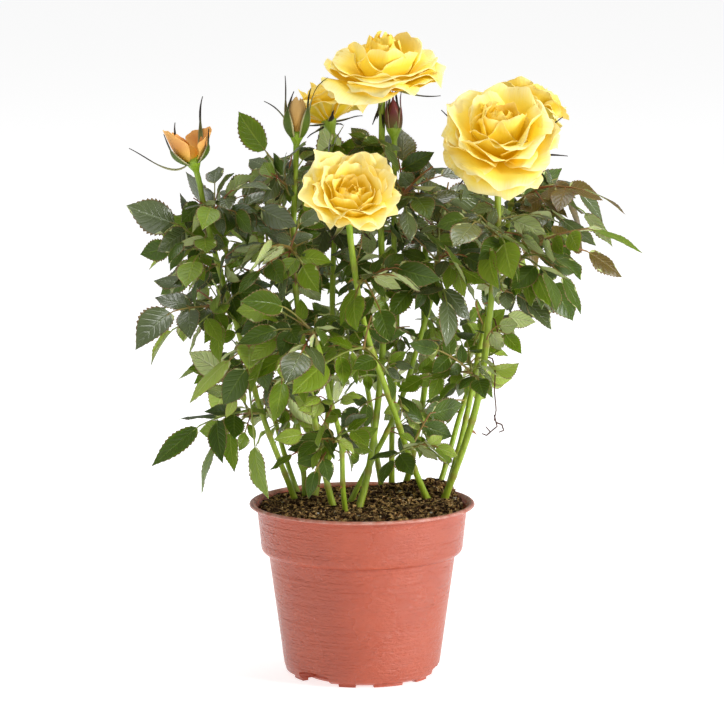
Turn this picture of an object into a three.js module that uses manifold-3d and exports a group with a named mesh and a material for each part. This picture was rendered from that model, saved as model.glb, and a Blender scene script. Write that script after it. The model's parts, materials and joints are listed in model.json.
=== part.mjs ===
// A miniature rose in a plastic nursery pot: green canes that rise in small clumps from
// the potting soil, leafy side shoots, open yellow blooms and buds on the cane tips.
// Millimetres, +Z up. The origin is the centre of the pot's flat underside, and -Y is
// the side that the blooms face.

import * as THREE from "three";
import { mergeVertices } from "three/addons/utils/BufferGeometryUtils.js";
import Module from "manifold-3d";

const wasm = await Module();
wasm.setup();

// ---------------------------------------------------------------- driving dimensions

const CLEAR = 0.3; // gap that touching pieces keep
const SEAM = 0.14; // detail finer than this is dropped where pieces join
const WELDS = [0.001, 0.0007];
const ROUND_SIDES = 30; // sides of the pot and of the soil

const POT = {
  wall: 1.2,
  padRadius: 30, // the flat pad it stands on, level with the lugs
  baseZ: 1.4, // how far the rest of the base is raised
  baseRadius: 38.3,
  footRadius: 41.6,
  footZ: 6,
  waistRadius: 49.8, // under the collar
  waistZ: 65.5,
  collarRadius: 53.8, // the collar's lower edge
  collarZ: 69.6,
  topRadius: 55.9,
  lipRadius: 60,
  height: 93,
};

const ARCH = { count: 3, first: -40, width: 21, height: 5, inner: 31 }; // drainage arches
const LUGS = [
  { angle: -12, width: 14 },
  { angle: 22, width: 25 },
  { angle: 57, width: 15 },
]; // lugs under the base, repeated with each arch
const LUG_RING = { inner: 34.5, outer: 38 };

const SOIL = { edgeZ: 89.6, crownRise: 2.2, heapRise: 6.5, roughness: 1.3 };
const SOIL_RINGS = [0.82, 0.6, 0.38, 0.18]; // rings of its top, as shares of its radius
const SOIL_HEAP = new THREE.Vector2(34, 30); // where the soil is heaped highest
const SUNK = 2; // how far below the soil's surface a cane's line starts

const EAST = new THREE.Vector3(1, 0, 0);
const NORTH = new THREE.Vector3(0, 1, 0);
const UP = new THREE.Vector3(0, 0, 1);
const GOLDEN = 2.399963; // radians between one leaf or petal and the next

// A cane rises from its foot to its tip. spread over 1 leans out early, under 1 late;
// bow is its sideways bulge half way up.
const CANES = {
  left_bud: { foot: [-35, 17], tip: [-85, -12, 264], spread: 1.05, bow: [-3, -4], girth: 1.9 },
  left_back: { foot: [-26, 18], tip: [-15, 26, 280], spread: 3, bow: [1, 3], girth: 2.0 },
  left_leafy: { foot: [-30.5, 23], tip: [-50, 44, 214], spread: 0.5, bow: [0, 2], girth: 1.8 },
  mid_bud: { foot: [-14.5, -15], tip: [-34.5, -14, 278], spread: 1.6, bow: [-4, -6], girth: 2.0 },
  top: { foot: [-2.5, -15], tip: [10.5, -3, 303], spread: 6, bow: [0, -4], girth: 2.2 },
  front: { foot: [36, 6], tip: [-6, -36, 239], spread: 1.2, bow: [-3, -3], girth: 2.1 },
  right: { foot: [43, 9], tip: [71, -8, 265], spread: 2.2, bow: [1, -4], girth: 2.3 },
  far_right: { foot: [44.5, 17], tip: [83, 42, 277], spread: 1.3, bow: [0, 3], girth: 1.9 },
  closed_bud: { foot: [16, 40], tip: [17, -4, 280], spread: 1.1, bow: [1, 2], girth: 1.9 },
  back_leafy: { foot: [22.5, 42], tip: [34, 34, 226], spread: 4, bow: [0, 0], girth: 2.1 },
  centre_front: { foot: [-8.5, -21.5], tip: [-24, -46, 186], spread: 0.8, bow: [2, -2], girth: 1.7 },
  centre_right: { foot: [-8, -9.5], tip: [40, 6, 222], spread: 1.3, bow: [3, 3], girth: 1.8 },
  back_left: { foot: [-33.5, 29.5], tip: [-74, 56, 222], spread: 1, bow: [-2, 4], girth: 1.7 },
  back_centre: { foot: [11.5, 46], tip: [-10, 72, 238], spread: 1.2, bow: [0, 4], girth: 1.8 },
  back_right: { foot: [40, 24.5], tip: [72, 66, 224], spread: 1.1, bow: [4, 3], girth: 1.8 },
};
const CANE_SIDES = 5;
const CANE_STEPS = 6;
const STEP_POWER = 1.35;
const CANE_TAPER = 0.4; // share of its girth that a cane loses on the way up
const CANE_WAVE = 1.1; // how far a cane wanders off its line
const ROOT_FLARE = 0.5;

// Blooms and buds on the cane tips. axis is the way the flower faces, radius its half
// width, open runs from 0, shut, to 1, flat open.
const FLOWERS = {
  bloom_top: { cane: "top", axis: [0.04, -0.2, 1], radius: 32, open: 0.92, seed: 3 },
  bloom_front: { cane: "front", axis: [0.02, -0.86, 0.62], radius: 27, open: 0.62, seed: 7 },
  bloom_right: { cane: "right", axis: [-0.05, -0.75, 0.8], radius: 33, open: 0.8, seed: 11 },
  bloom_right_back: { cane: "far_right", axis: [0.35, 0.45, 0.85], radius: 23, open: 0.8, seed: 17 },
  bloom_left_back: { cane: "left_back", axis: [0.1, 0.35, 0.95], radius: 22, open: 0.75, seed: 23 },
  bud_left: { cane: "left_bud", axis: [-0.3, -0.15, 1], radius: 9.5, open: 0.16, seed: 31 },
  bud_mid: { cane: "mid_bud", axis: [0.02, -0.05, 1], radius: 7, open: 0.06, seed: 37 },
  bud_closed: { cane: "closed_bud", axis: [-0.03, -0.05, 1], radius: 4.6, open: 0, seed: 41 },
};
const HEART = { radius: 0.6, height: 0.86 }; // the packed middle, as shares of the radius
const PETAL_LAYERS = [
  { count: 3, size: 0.82, across: 0.6, from: 0.75, to: 1.25 },
  { count: 6, size: 1, across: 0.46, from: 1.1, to: 1.75 },
]; // from and to are slopes off the axis when wide open
const PETAL_CUP = 0.16;
const PETAL_THICK = 1;
const STALK = 4; // a flower's own stalk, each side of its bend
const HIP = { length: 7, radius: 2.6 }; // the green hip under the petals
const SEPAL_LENGTH = 17;
const BUD = { open: 0.3, length: 15, girth: 0.72 }; // a flower that is less open is a bud

// Leafy shoots. Each starts on a cane, at a share of its height, and arches to its aim,
// where its last leaf's end leaflet begins. size is the end leaflet's length.
const SHOOTS = {
  leaves_left_high: { cane: "left_bud", at: 0.8, aim: [-97, -18, 244], leaves: 3, size: 27 },
  leaves_left_inner: { cane: "left_bud", at: 0.9, aim: [-68, -22, 262], leaves: 3, size: 27 },
  leaves_left_mid: { cane: "left_bud", at: 0.62, aim: [-99, -28, 199], leaves: 3, size: 27 },
  leaves_left_pale: { cane: "mid_bud", at: 0.52, aim: [-68, -42, 176], leaves: 3, size: 32 },
  leaves_left_low: { cane: "left_bud", at: 0.3, aim: [-86, -14, 136], leaves: 2, size: 35 },
  leaves_left_hanging: { cane: "left_bud", at: 0.48, aim: [-56, -42, 130], leaves: 2, size: 31 },
  leaves_top_left: { cane: "mid_bud", at: 0.9, aim: [-50, -8, 281], leaves: 3, size: 27 },
  leaves_mid_left: { cane: "mid_bud", at: 0.74, aim: [-46, -48, 236], leaves: 4, size: 30 },
  leaves_behind_front: { cane: "left_back", at: 0.84, aim: [-17, -10, 280], leaves: 3, size: 28 },
  leaves_top_centre: { cane: "top", at: 0.9, aim: [-4, -16, 284], leaves: 3, size: 27 },
  leaves_top_right: { cane: "closed_bud", at: 0.86, aim: [37, -14, 274], leaves: 4, size: 27 },
  leaves_centre_front: { cane: "front", at: 0.84, aim: [16, -58, 222], leaves: 4, size: 30 },
  leaves_centre_low: { cane: "front", at: 0.6, aim: [-18, -54, 176], leaves: 3, size: 28 },
  leaves_front_left: { cane: "centre_front", at: 1, aim: [-40, -60, 206], leaves: 4, size: 29 },
  leaves_front_foot: { cane: "centre_front", at: 0.45, aim: [-22, -46, 134], leaves: 4, size: 22 },
  leaves_right_front: { cane: "centre_right", at: 0.92, aim: [46, -42, 232], leaves: 5, size: 30 },
  leaves_right_inner: { cane: "right", at: 0.84, aim: [58, -44, 248], leaves: 4, size: 29 },
  leaves_right_high: { cane: "far_right", at: 0.84, aim: [117, 8, 259], leaves: 4, size: 32 },
  leaves_right_mid: { cane: "right", at: 0.7, aim: [118, -30, 243], leaves: 4, size: 29 },
  leaves_right_low: { cane: "front", at: 0.22, aim: [34, -24, 128], leaves: 3, size: 27 },
  leaves_right_sparse: { cane: "right", at: 0.4, aim: [40, -22, 178], leaves: 3, size: 20 },
  leaves_centre_high: { cane: "centre_right", at: 1, aim: [46, 22, 262], leaves: 4, size: 28 },
  leaves_centre_back: { cane: "back_leafy", at: 1, aim: [30, 52, 256], leaves: 4, size: 28 },
  leaves_foot_left: { cane: "left_leafy", at: 0.35, aim: [-52, 8, 150], leaves: 3, size: 25 },
  leaves_back_inner: { cane: "left_leafy", at: 1, aim: [-52, 38, 252], leaves: 4, size: 28 },
  leaves_back_left: { cane: "back_left", at: 1, aim: [-92, 52, 226], leaves: 4, size: 29 },
  leaves_back_left_low: { cane: "back_left", at: 0.5, aim: [-80, 62, 160], leaves: 3, size: 29 },
  leaves_back_centre: { cane: "back_centre", at: 1, aim: [-14, 80, 262], leaves: 4, size: 29 },
  leaves_back_low: { cane: "back_centre", at: 0.5, aim: [-12, 84, 168], leaves: 4, size: 29 },
  leaves_back_right: { cane: "back_right", at: 1, aim: [86, 72, 246], leaves: 4, size: 29 },
  leaves_back_right_low: { cane: "back_right", at: 0.5, aim: [42, 80, 170], leaves: 3, size: 29 },
};
const FACET_SLACK = 0.1; // how far a cane's flat-sided solid strays from its round line
const TWIG = { start: 1.15, end: 0.55, sides: 3 };
const SHOOT_ARCH = 0.14; // how high a shoot arches, as a share of its length
const RACHIS = 30; // the stalk that carries a leaf's five leaflets
const RACHIS_SAG = 0.16;
const LEAFLET_WIDTH = 0.76; // of its length
const LEAFLET_DROOP = 0.1;
const LEAFLET_THICK = 0.55;
const LEAFLET_SPREAD = 1.02; // radians between the rachis and a side leaflet
const PAIRS = [
  { along: 0.62, size: 0.86 },
  { along: 0.26, size: 0.62 },
]; // a side leaf has only the first pair
const LIGHT = new THREE.Vector3(0, -0.4, 0); // leaves turn a little to the light
const TRIES = 14; // directions tried for a side leaf
const LEAST_LEAFLETS = 2; // a side leaf with fewer that fit is left out

// Room that growing leaves keep, measured between their sample points.
const LEAF_ROOM = 4.6;
const TWIG_ROOM = 3;
const TWIG_SAMPLES = 16;
const CANE_ROOM = 2.2; // beyond the cane's own radius
const FLOWER_ROOM = 3;

// ---------------------------------------------------------------------- small helpers

// A repeatable value from 0 to 1 for three whole numbers.
function chance(a, b, c) {
  const s = Math.sin(a * 12.9898 + b * 78.233 + c * 37.719) * 43758.5453;
  return s - Math.floor(s);
}

const vec = (a) => new THREE.Vector3(...a);
const mix = (a, b, t) => a + (b - a) * t;
const along = (point, way, distance) => point.clone().addScaledVector(way, distance);
const radians = THREE.MathUtils.degToRad;

// The part of v at right angles to the unit vector n, at unit length.
function square(v, n) {
  return along(v, n, -v.dot(n)).normalize();
}

function solidOf(geometry, weld = 1e-4) {
  const bare = geometry.clone();
  bare.deleteAttribute("normal");
  bare.deleteAttribute("uv");
  const merged = mergeVertices(bare, weld);
  return new wasm.Manifold(
    new wasm.Mesh({
      numProp: 3,
      vertProperties: merged.attributes.position.array,
      triVerts: new Uint32Array(merged.index.array),
    }),
  );
}

function geometryOf(solid) {
  const mesh = solid.getMesh();
  const geometry = new THREE.BufferGeometry();
  geometry.setAttribute("position", new THREE.BufferAttribute(mesh.vertProperties, 3));
  geometry.setIndex(new THREE.BufferAttribute(mesh.triVerts, 1));
  geometry.computeVertexNormals();
  return geometry;
}

// A closed solid from points and triangles.
function facets(points, faces) {
  const geometry = new THREE.BufferGeometry().setFromPoints(points);
  geometry.setIndex(faces.flat());
  return solidOf(geometry);
}

// The largest closed surface of a solid: loose scraps dropped and sealed hollows filled.
function largest(solid) {
  return solid.decompose().reduce((best, body) => (body.volume() > best.volume() ? body : best));
}

// One body from many. Corners that lie almost together are made one, on two grids so that
// none falls between two cells, before each last look for scraps and hollows.
function fuse(pieces) {
  let joined = largest(pieces.reduce((whole, piece) => whole.add(piece)).simplify(SEAM));
  for (const weld of WELDS) joined = largest(solidOf(geometryOf(joined), weld));
  return joined;
}

// A tapering tube through points, with flat ends. radius is a function of 0 to 1.
function tube(points, radius, sides) {
  const last = points.length - 1;
  const tangents = points.map((_, i) =>
    points[Math.min(i + 1, last)].clone().sub(points[Math.max(i - 1, 0)]).normalize(),
  );
  let across = square(Math.abs(tangents[0].z) > 0.9 ? EAST : UP, tangents[0]);
  const ring = [];
  points.forEach((point, i) => {
    across = square(across, tangents[i]);
    const third = tangents[i].clone().cross(across);
    for (let k = 0; k < sides; k++) {
      const turn = (2 * Math.PI * k) / sides;
      const out = across.clone().multiplyScalar(Math.cos(turn)).addScaledVector(third, Math.sin(turn));
      ring.push(along(point, out, radius(i / last)));
    }
  });
  const faces = [];
  for (let i = 0; i < last; i++)
    for (let k = 0; k < sides; k++) {
      const a = i * sides + k;
      const b = i * sides + ((k + 1) % sides);
      faces.push([a, b, b + sides], [a, b + sides, a + sides]);
    }
  for (let k = 1; k < sides - 1; k++) {
    faces.push([0, k + 1, k]);
    faces.push([last * sides, last * sides + k, last * sides + k + 1]);
  }
  return facets(ring, faces);
}

function polyline(curve, steps) {
  return Array.from({ length: steps + 1 }, (_, i) => curve(i / steps));
}

// The point at a share t of the straight pieces between knots.
function onKnots(knots, t) {
  const at = Math.min(t, 1) * (knots.length - 1);
  const i = Math.min(Math.floor(at), knots.length - 2);
  return new THREE.Vector3().lerpVectors(knots[i], knots[i + 1], at - i);
}

// ------------------------------------------------------------------------ pot and soil

function lathe(profile) {
  const points = profile.map(([r, z]) => new THREE.Vector2(r, z));
  const geometry = new THREE.LatheGeometry(points, ROUND_SIDES);
  geometry.rotateX(Math.PI / 2);
  return solidOf(geometry);
}

// The pot's outside from the middle of its base up to the collar.
const potOutside = [
  [0, 0],
  [POT.padRadius, 0],
  [POT.padRadius + 1, POT.baseZ],
  [POT.baseRadius, POT.baseZ],
  [mix(POT.baseRadius, POT.footRadius, 0.7), mix(POT.baseZ, POT.footZ, 0.3)],
  [POT.footRadius, POT.footZ],
  [POT.waistRadius, POT.waistZ],
  [POT.collarRadius - 0.5, POT.collarZ - 1.2],
  [POT.collarRadius, POT.collarZ],
];

// The inside of the wall, moved in by inset, up to the collar.
const potInside = (inset) => [
  [0, POT.baseZ + inset],
  [POT.baseRadius - inset * 0.6, POT.baseZ + inset],
  [POT.footRadius - inset, POT.footZ + inset * 0.5],
  [POT.waistRadius - inset, POT.waistZ + inset * 0.6],
  [POT.collarRadius - inset, POT.collarZ + inset * 0.2],
];

// A point at an angle from -Y, turning towards +X.
function aroundPot(radius, degrees, z) {
  const turn = radians(degrees);
  return new THREE.Vector3(radius * Math.sin(turn), -radius * Math.cos(turn), z);
}

// An upright block between two radii and two angles: one lug.
function ringSector(inner, outer, from, to, low, high) {
  const shape = new THREE.Shape();
  const start = radians(from - 90);
  const end = radians(to - 90);
  shape.absarc(0, 0, outer, start, end, false);
  shape.absarc(0, 0, inner, end, start, true);
  const depth = high - low;
  const geometry = new THREE.ExtrudeGeometry(shape, { depth, bevelEnabled: false, curveSegments: 1 });
  geometry.translate(0, 0, low);
  return solidOf(geometry);
}

// The block that a drainage arch takes out of the pot's foot, grown by grow on all sides.
function archBlock(degrees, grow) {
  const half = ARCH.width / 2 + grow;
  const top = ARCH.height + POT.baseZ + grow;
  const shape = new THREE.Shape();
  shape.moveTo(-half, -1);
  shape.lineTo(half, -1);
  shape.lineTo(half - 1, top - 1.6);
  shape.quadraticCurveTo(0, top + 1.4, -half + 1, top - 1.6);
  shape.closePath();
  const depth = POT.footRadius + 4 - ARCH.inner + grow;
  const geometry = new THREE.ExtrudeGeometry(shape, { depth, bevelEnabled: false, curveSegments: 3 });
  geometry.rotateX(Math.PI / 2); // the shape stands up, and the block runs along -Y
  geometry.translate(0, -ARCH.inner + grow, 0);
  geometry.rotateZ(radians(degrees));
  return solidOf(geometry);
}

const archAngles = Array.from({ length: ARCH.count }, (_, i) => ARCH.first + (360 / ARCH.count) * i);

function makePot() {
  const p = POT;
  const outside = [...potOutside, [p.topRadius, p.height - 1.6], [p.lipRadius - 0.3, p.height - 2]];
  const lip = [
    [p.lipRadius, p.height - 1.2],
    [p.topRadius + 0.4, p.height],
    [p.topRadius - p.wall, p.height - 0.5],
  ];
  const shell = lathe([...outside, ...lip, ...potInside(p.wall).reverse()]);
  const body = lathe([...outside, [p.lipRadius, p.height], [0, p.height]]);
  const recesses = archAngles.map((angle) => archBlock(angle, p.wall).intersect(body));
  const lugs = archAngles.flatMap((angle) =>
    LUGS.map((lug) => {
      const middle = angle - ARCH.first + lug.angle;
      const half = lug.width / 2;
      return ringSector(LUG_RING.inner, LUG_RING.outer, middle - half, middle + half, 0, p.baseZ + 0.4);
    }),
  );
  const whole = fuse([shell, ...recesses, ...lugs]);
  return archAngles.reduce((pot, angle) => pot.subtract(archBlock(angle, 0)), whole);
}

// Height of the soil at a place, with its heap and its rough surface.
function soilHeight(x, y) {
  const r = Math.hypot(x, y) / (POT.topRadius - POT.wall);
  const heap = Math.exp(-((x - SOIL_HEAP.x) ** 2 + (y - SOIL_HEAP.y) ** 2) / 500);
  const rough = Math.sin(x * 0.31 + 1) * Math.cos(y * 0.27) + Math.sin(x * 0.13 - y * 0.21);
  const inside = Math.max(0, 1 - r * r);
  return (
    SOIL.edgeZ +
    SOIL.crownRise * inside +
    SOIL.heapRise * heap * Math.min(1, inside * 2.5) +
    SOIL.roughness * rough * 0.5 * Math.min(1, inside * 4)
  );
}

// The soil inside the pot. raise lifts its top, which gives the block that the canes'
// feet are cut off with.
function makeSoil(raise = 0) {
  const side = potInside(POT.wall + CLEAR).map(([r, z]) => [r - 0.1, z]);
  const topRadius = mix(POT.collarRadius, POT.topRadius, 0.85) - POT.wall - CLEAR - 0.1;
  const rings = [...side.slice(1), [topRadius, SOIL.edgeZ + raise]];
  const points = [new THREE.Vector3(0, 0, side[0][1])];
  const faces = [];
  const addRing = (radius, height) => {
    for (let k = 0; k < ROUND_SIDES; k++) {
      const p = aroundPot(radius, (360 * k) / ROUND_SIDES, 0);
      points.push(p.setZ(height(p.x, p.y)));
    }
  };
  rings.forEach(([r, z]) => addRing(r, () => z));
  SOIL_RINGS.forEach((share) => addRing(topRadius * share, (x, y) => soilHeight(x, y) + raise));
  const ringCount = rings.length + SOIL_RINGS.length;
  const at = (i, k) => 1 + i * ROUND_SIDES + (k % ROUND_SIDES);
  for (let k = 0; k < ROUND_SIDES; k++) {
    faces.push([0, at(0, k + 1), at(0, k)]);
    for (let i = 0; i < ringCount - 1; i++) {
      faces.push([at(i, k), at(i, k + 1), at(i + 1, k + 1)], [at(i, k), at(i + 1, k + 1), at(i + 1, k)]);
    }
    faces.push([at(ringCount - 1, k), at(ringCount - 1, k + 1), points.length]);
  }
  points.push(new THREE.Vector3(0, 0, soilHeight(0, 0) + raise));
  const blocks = archAngles.map((angle) => archBlock(angle, POT.wall + CLEAR));
  return largest(blocks.reduce((soil, block) => soil.subtract(block), facets(points, faces)));
}

// ------------------------------------------------------------------------------- canes

function canePoint(cane, t) {
  const [x0, y0] = cane.foot;
  const [x1, y1, z1] = cane.tip;
  const z0 = soilHeight(x0, y0) - SUNK;
  const lean = 1 - (1 - t) ** cane.spread;
  const bulge = Math.sin(Math.PI * t);
  const wave = CANE_WAVE * bulge;
  return new THREE.Vector3(
    mix(x0, x1, lean) + cane.bow[0] * bulge + wave * Math.sin(9 * t + x0),
    mix(y0, y1, lean) + cane.bow[1] * bulge + wave * Math.sin(11 * t + y0),
    mix(z0, z1, t),
  );
}

function caneRadius(cane, t) {
  return cane.girth * (1 - CANE_TAPER * t) + ROOT_FLARE * Math.exp(-t * 22);
}

// The corners of a cane's solid, closer together near the foot, where it bends most.
const caneKnots = (cane) => polyline((s) => canePoint(cane, s ** STEP_POWER), CANE_STEPS);

// A point on the middle line of a cane's solid, at a share t of its height.
const onCane = (cane, t) => onKnots(caneKnots(cane), t ** (1 / STEP_POWER));

function caneTangent(cane, t) {
  const step = 0.02;
  return onCane(cane, Math.min(1, t + step)).sub(onCane(cane, Math.max(0, t - step))).normalize();
}

// ground is the block that cuts the foot off, just above the soil.
function makeCane(cane, ground) {
  const limb = tube(caneKnots(cane), (s) => caneRadius(cane, s ** STEP_POWER), CANE_SIDES);
  return largest(limb.subtract(ground));
}

// ----------------------------------------------------------------------------- flowers

// Where a flower's stalk starts, bends and carries the hip, and the way it faces.
function flowerFrame(flower) {
  const cane = CANES[flower.cane];
  const axis = vec(flower.axis).normalize();
  const way = caneTangent(cane, 1);
  const start = along(canePoint(cane, 1), way, CLEAR);
  const bend = along(start, way, STALK);
  const base = along(bend, axis, STALK);
  const side = square(Math.abs(axis.y) > 0.5 ? EAST : NORTH, axis);
  const third = axis.clone().cross(side);
  return { axis, start, bend, base, side, third, radius: caneRadius(cane, 1) };
}

// The way out from a flower's axis at an angle round it.
function outward(frame, turn) {
  return frame.side.clone().multiplyScalar(Math.cos(turn)).addScaledVector(frame.third, Math.sin(turn));
}

// A petal is an arc that starts low beside the hip and turns up, or back when wide open.
// from and to are its slopes off the axis at its two ends, across its half width.
function petal(frame, root, turn, length, across, from, to) {
  const out = outward(frame, turn);
  const tangential = frame.axis.clone().cross(out);
  const bend = to - from;
  const spine = (u) => {
    const slope = from + bend * u;
    const radial = (length * (Math.cos(from) - Math.cos(slope))) / bend;
    const rise = (length * (Math.sin(slope) - Math.sin(from))) / bend;
    return along(along(root, out, radial), frame.axis, rise);
  };
  const inwardAt = (u) => {
    const slope = from + bend * u;
    return frame.axis.clone().multiplyScalar(Math.sin(slope)).addScaledVector(out, -Math.cos(slope));
  };
  const place = (u, v) =>
    along(along(spine(u), tangential, across * v), inwardAt(u), PETAL_CUP * across * v * v);
  const keel = along(place(0.55, 0), inwardAt(0.55), -PETAL_THICK);
  const rim = [spine(0), place(0.6, -1), place(0.98, -0.6), place(1, 0.45), place(0.64, 1), keel];
  const faces = [[0, 1, 4], [1, 2, 4], [2, 3, 4], [1, 0, 5], [2, 1, 5], [3, 2, 5], [4, 3, 5], [0, 4, 5]];
  return facets(rim, faces);
}

// A sepal: a narrow pointed blade from under the petals.
function sepal(frame, root, turn, length, slope) {
  const out = outward(frame, turn);
  const way = frame.axis.clone().multiplyScalar(Math.cos(slope)).addScaledVector(out, Math.sin(slope));
  const blade = frame.axis.clone().cross(out);
  const face = way.clone().cross(blade);
  return leafBlade(root, way, face, length, 0.22, -0.12);
}

// A bud's wrapped petals, as one tapering body.
function budBody({ base, axis }, flower) {
  const length = BUD.length + flower.radius;
  const shape = (t) => BUD.girth * flower.radius * Math.sin(Math.PI * mix(0.22, 0.96, t)) ** 0.8;
  return tube(polyline((t) => along(base, axis, 3 + length * t), 4), shape, 6);
}

// An open bloom's packed middle and the petals round it.
function bloomPetals(frame, flower) {
  const { base, axis } = frame;
  const heart = flower.radius * HEART.radius;
  const shape = (t) => heart * Math.sin(Math.PI * mix(0.1, 0.74, t)) ** 0.7;
  const middle = polyline((t) => along(base, axis, 3 + HEART.height * flower.radius * t), 3);
  const pieces = [tube(middle, shape, 6)];
  const root = along(base, axis, 4.5);
  PETAL_LAYERS.forEach((layer, ring) => {
    const from = layer.from * flower.open;
    const to = layer.to * flower.open;
    const reach = (Math.cos(from) - Math.cos(to)) / (to - from); // outwards, for each mm of length
    for (let i = 0; i < layer.count; i++) {
      const turn = (2 * Math.PI * (i + ring * 0.5)) / layer.count + 0.3 * chance(flower.seed, ring, i);
      const size = layer.size * mix(0.92, 1.08, chance(flower.seed, ring, i + 20));
      const length = (flower.radius * size) / reach;
      pieces.push(petal(frame, root, turn, length, flower.radius * layer.across, from, to));
    }
  });
  return pieces;
}

// Five sepals: closed round a shut bud, spread under an open bloom.
function sepals(frame, flower, bud) {
  const { base, axis } = frame;
  const ring = bud ? { rise: 4, out: 1.2, length: 1.15 } : { rise: HIP.length * 0.7, out: 0.4, length: 1 };
  return Array.from({ length: 5 }, (_, i) => {
    const turn = (2 * Math.PI * i) / 5 + flower.seed;
    const stray = bud ? 0.8 * chance(flower.seed, i, 5) : 0;
    const slope = mix(0.12, 1.75, flower.open) + stray;
    const root = along(along(base, axis, ring.rise), outward(frame, turn), ring.out);
    return sepal(frame, root, turn, SEPAL_LENGTH * ring.length, slope);
  });
}

function makeFlower(flower) {
  const frame = flowerFrame(flower);
  const { start, bend, base, axis } = frame;
  const bud = flower.open < BUD.open;
  const stalk = tube([start, bend, base, along(base, axis, 1.5)], () => frame.radius, CANE_SIDES);
  const hipLine = [-1, HIP.length * 0.55, HIP.length].map((rise) => along(base, axis, rise));
  const hip = tube(hipLine, (t) => HIP.radius * (t < 0.3 ? 0.62 : 1), 6);
  const petals = bud ? [budBody(frame, flower)] : bloomPetals(frame, flower);
  return fuse([stalk, hip, ...petals, ...(flower.open > 0 ? sepals(frame, flower, bud) : [])]);
}

// The room that a flower needs, as an ellipsoid round its petals.
function flowerRoom(flower) {
  const frame = flowerFrame(flower);
  const bud = flower.open < BUD.open;
  const depth = bud ? 20 : flower.radius * mix(0.75, 0.5, flower.open) + 3;
  return {
    centre: along(frame.base, frame.axis, bud ? 12 : 4 + depth * 0.55),
    axis: frame.axis,
    radius: flower.radius * (bud ? 1.3 : 1.06) + FLOWER_ROOM,
    depth: depth + FLOWER_ROOM,
  };
}

// ------------------------------------------------------------------------------ leaves

// A leaflet's thin blade of six faces: a bent top and a shallow keel under it. Its root is
// a point, which lies on the middle line of the stalk that it grows from.
function leafBlade(root, way, face, length, width, droop) {
  const side = way.clone().cross(face);
  const half = (length * width) / 2;
  const at = (u, v) =>
    along(along(along(root, way, length * u), side, half * v), face, -droop * length * u * u);
  const keel = along(at(0.44, 0), face, -LEAFLET_THICK);
  const faces = [[0, 1, 3], [1, 2, 3], [1, 0, 4], [2, 1, 4], [3, 2, 4], [0, 3, 4]];
  return facets([root, at(0.44, 1), at(1, 0), at(0.44, -1), keel], faces);
}

// Points spread over a leaflet, for finding whether it has room.
const SAMPLES = [
  [0.12, 0], [0.3, -0.8], [0.3, 0], [0.3, 0.8], [0.5, -0.9], [0.5, 0],
  [0.5, 0.9], [0.72, -0.7], [0.72, 0], [0.72, 0.7], [0.9, 0], [1, 0],
];

function leafletSamples({ root, way, face, length }) {
  const side = way.clone().cross(face);
  const half = (length * LEAFLET_WIDTH) / 2;
  return SAMPLES.map(([u, v]) => {
    const point = along(along(root, way, length * u), side, half * v);
    return along(point, face, -LEAFLET_DROOP * length * u * u);
  });
}

// A compound leaf: a sagging rachis with an end leaflet and two pairs.
function compoundLeaf(base, way, reach, size, seed, index) {
  const sagging = (u) => along(along(base, way, reach * u), UP, -RACHIS_SAG * reach * u * u);
  const knots = polyline(sagging, 2);
  const rachis = (u) => onKnots(knots, u);
  const tangentAt = (u) => along(way, UP, -2 * RACHIS_SAG * u).normalize();
  const out = rachis(1).setZ(0).normalize();
  const lit = UP.clone().multiplyScalar(0.5).addScaledVector(out, 0.35).add(LIGHT);
  lit.x += 1.1 * (chance(seed, index, 1) - 0.5);
  lit.y += 1.1 * (chance(seed, index, 2) - 0.5);
  const leaflets = [];
  const add = (u, turn, length, k) => {
    const tangent = tangentAt(u);
    const face = square(lit, tangent);
    const side = tangent.clone().cross(face);
    const heading = tangent.clone().multiplyScalar(Math.cos(turn)).addScaledVector(side, Math.sin(turn));
    heading.z -= 0.18 * chance(seed, index, 10 + k);
    heading.normalize();
    const twist = square(along(face, side, 0.5 * (chance(seed, index, 20 + k) - 0.5)), heading);
    const full = length * mix(0.9, 1.1, chance(seed, index, 30 + k));
    const root = rachis(u - 0.02 * Math.sign(turn) - 0.01); // a pair's two roots lie a little apart
    leaflets.push({ root, way: heading, face: twist, length: full });
  };
  add(1, 0, size, 0);
  PAIRS.slice(0, index === 0 ? 2 : 1).forEach((pair, i) => {
    add(pair.along, -LEAFLET_SPREAD, size * pair.size, 2 * i + 1);
    add(pair.along, LEAFLET_SPREAD, size * pair.size, 2 * i + 2);
  });
  return { knots, rachis, leaflets };
}

// Everything that leaves have to keep clear of, and what has grown so far.
const caneLines = Object.values(CANES).map((cane) =>
  polyline((t) => ({ point: onCane(cane, t), radius: caneRadius(cane, t) }), 60),
);
const flowerRooms = Object.values(FLOWERS).map(flowerRoom);
const grown = []; // { point, room } for each sample of what has grown

function clearOfLimbs(point, room) {
  const radius = Math.hypot(point.x, point.y);
  if (point.z < (radius < POT.lipRadius + 5 ? POT.height + 9 : POT.height - 4)) return false;
  if (caneLines.some((line) => line.some((c) => c.point.distanceTo(point) < c.radius + room))) return false;
  return flowerRooms.every((f) => {
    const from = point.clone().sub(f.centre);
    const height = from.dot(f.axis);
    const out = Math.sqrt(Math.max(0, from.lengthSq() - height * height));
    return (out / f.radius) ** 2 + (height / f.depth) ** 2 > 1;
  });
}

const clearOfGrown = (point, room) =>
  grown.every((other) => other.point.distanceTo(point) > Math.min(room, other.room));

const leafletFits = (leaflet) =>
  leafletSamples(leaflet).every((p) => clearOfLimbs(p, CANE_ROOM) && clearOfGrown(p, LEAF_ROOM));

// Samples along a rachis, past its own start.
const rachisSamples = (leaf) => polyline((u) => leaf.rachis(mix(0.2, 1, u)), 6);

const rachisFits = (leaf) =>
  rachisSamples(leaf).every((p) => clearOfLimbs(p, 1.3) && clearOfGrown(p, TWIG_ROOM));

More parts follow.
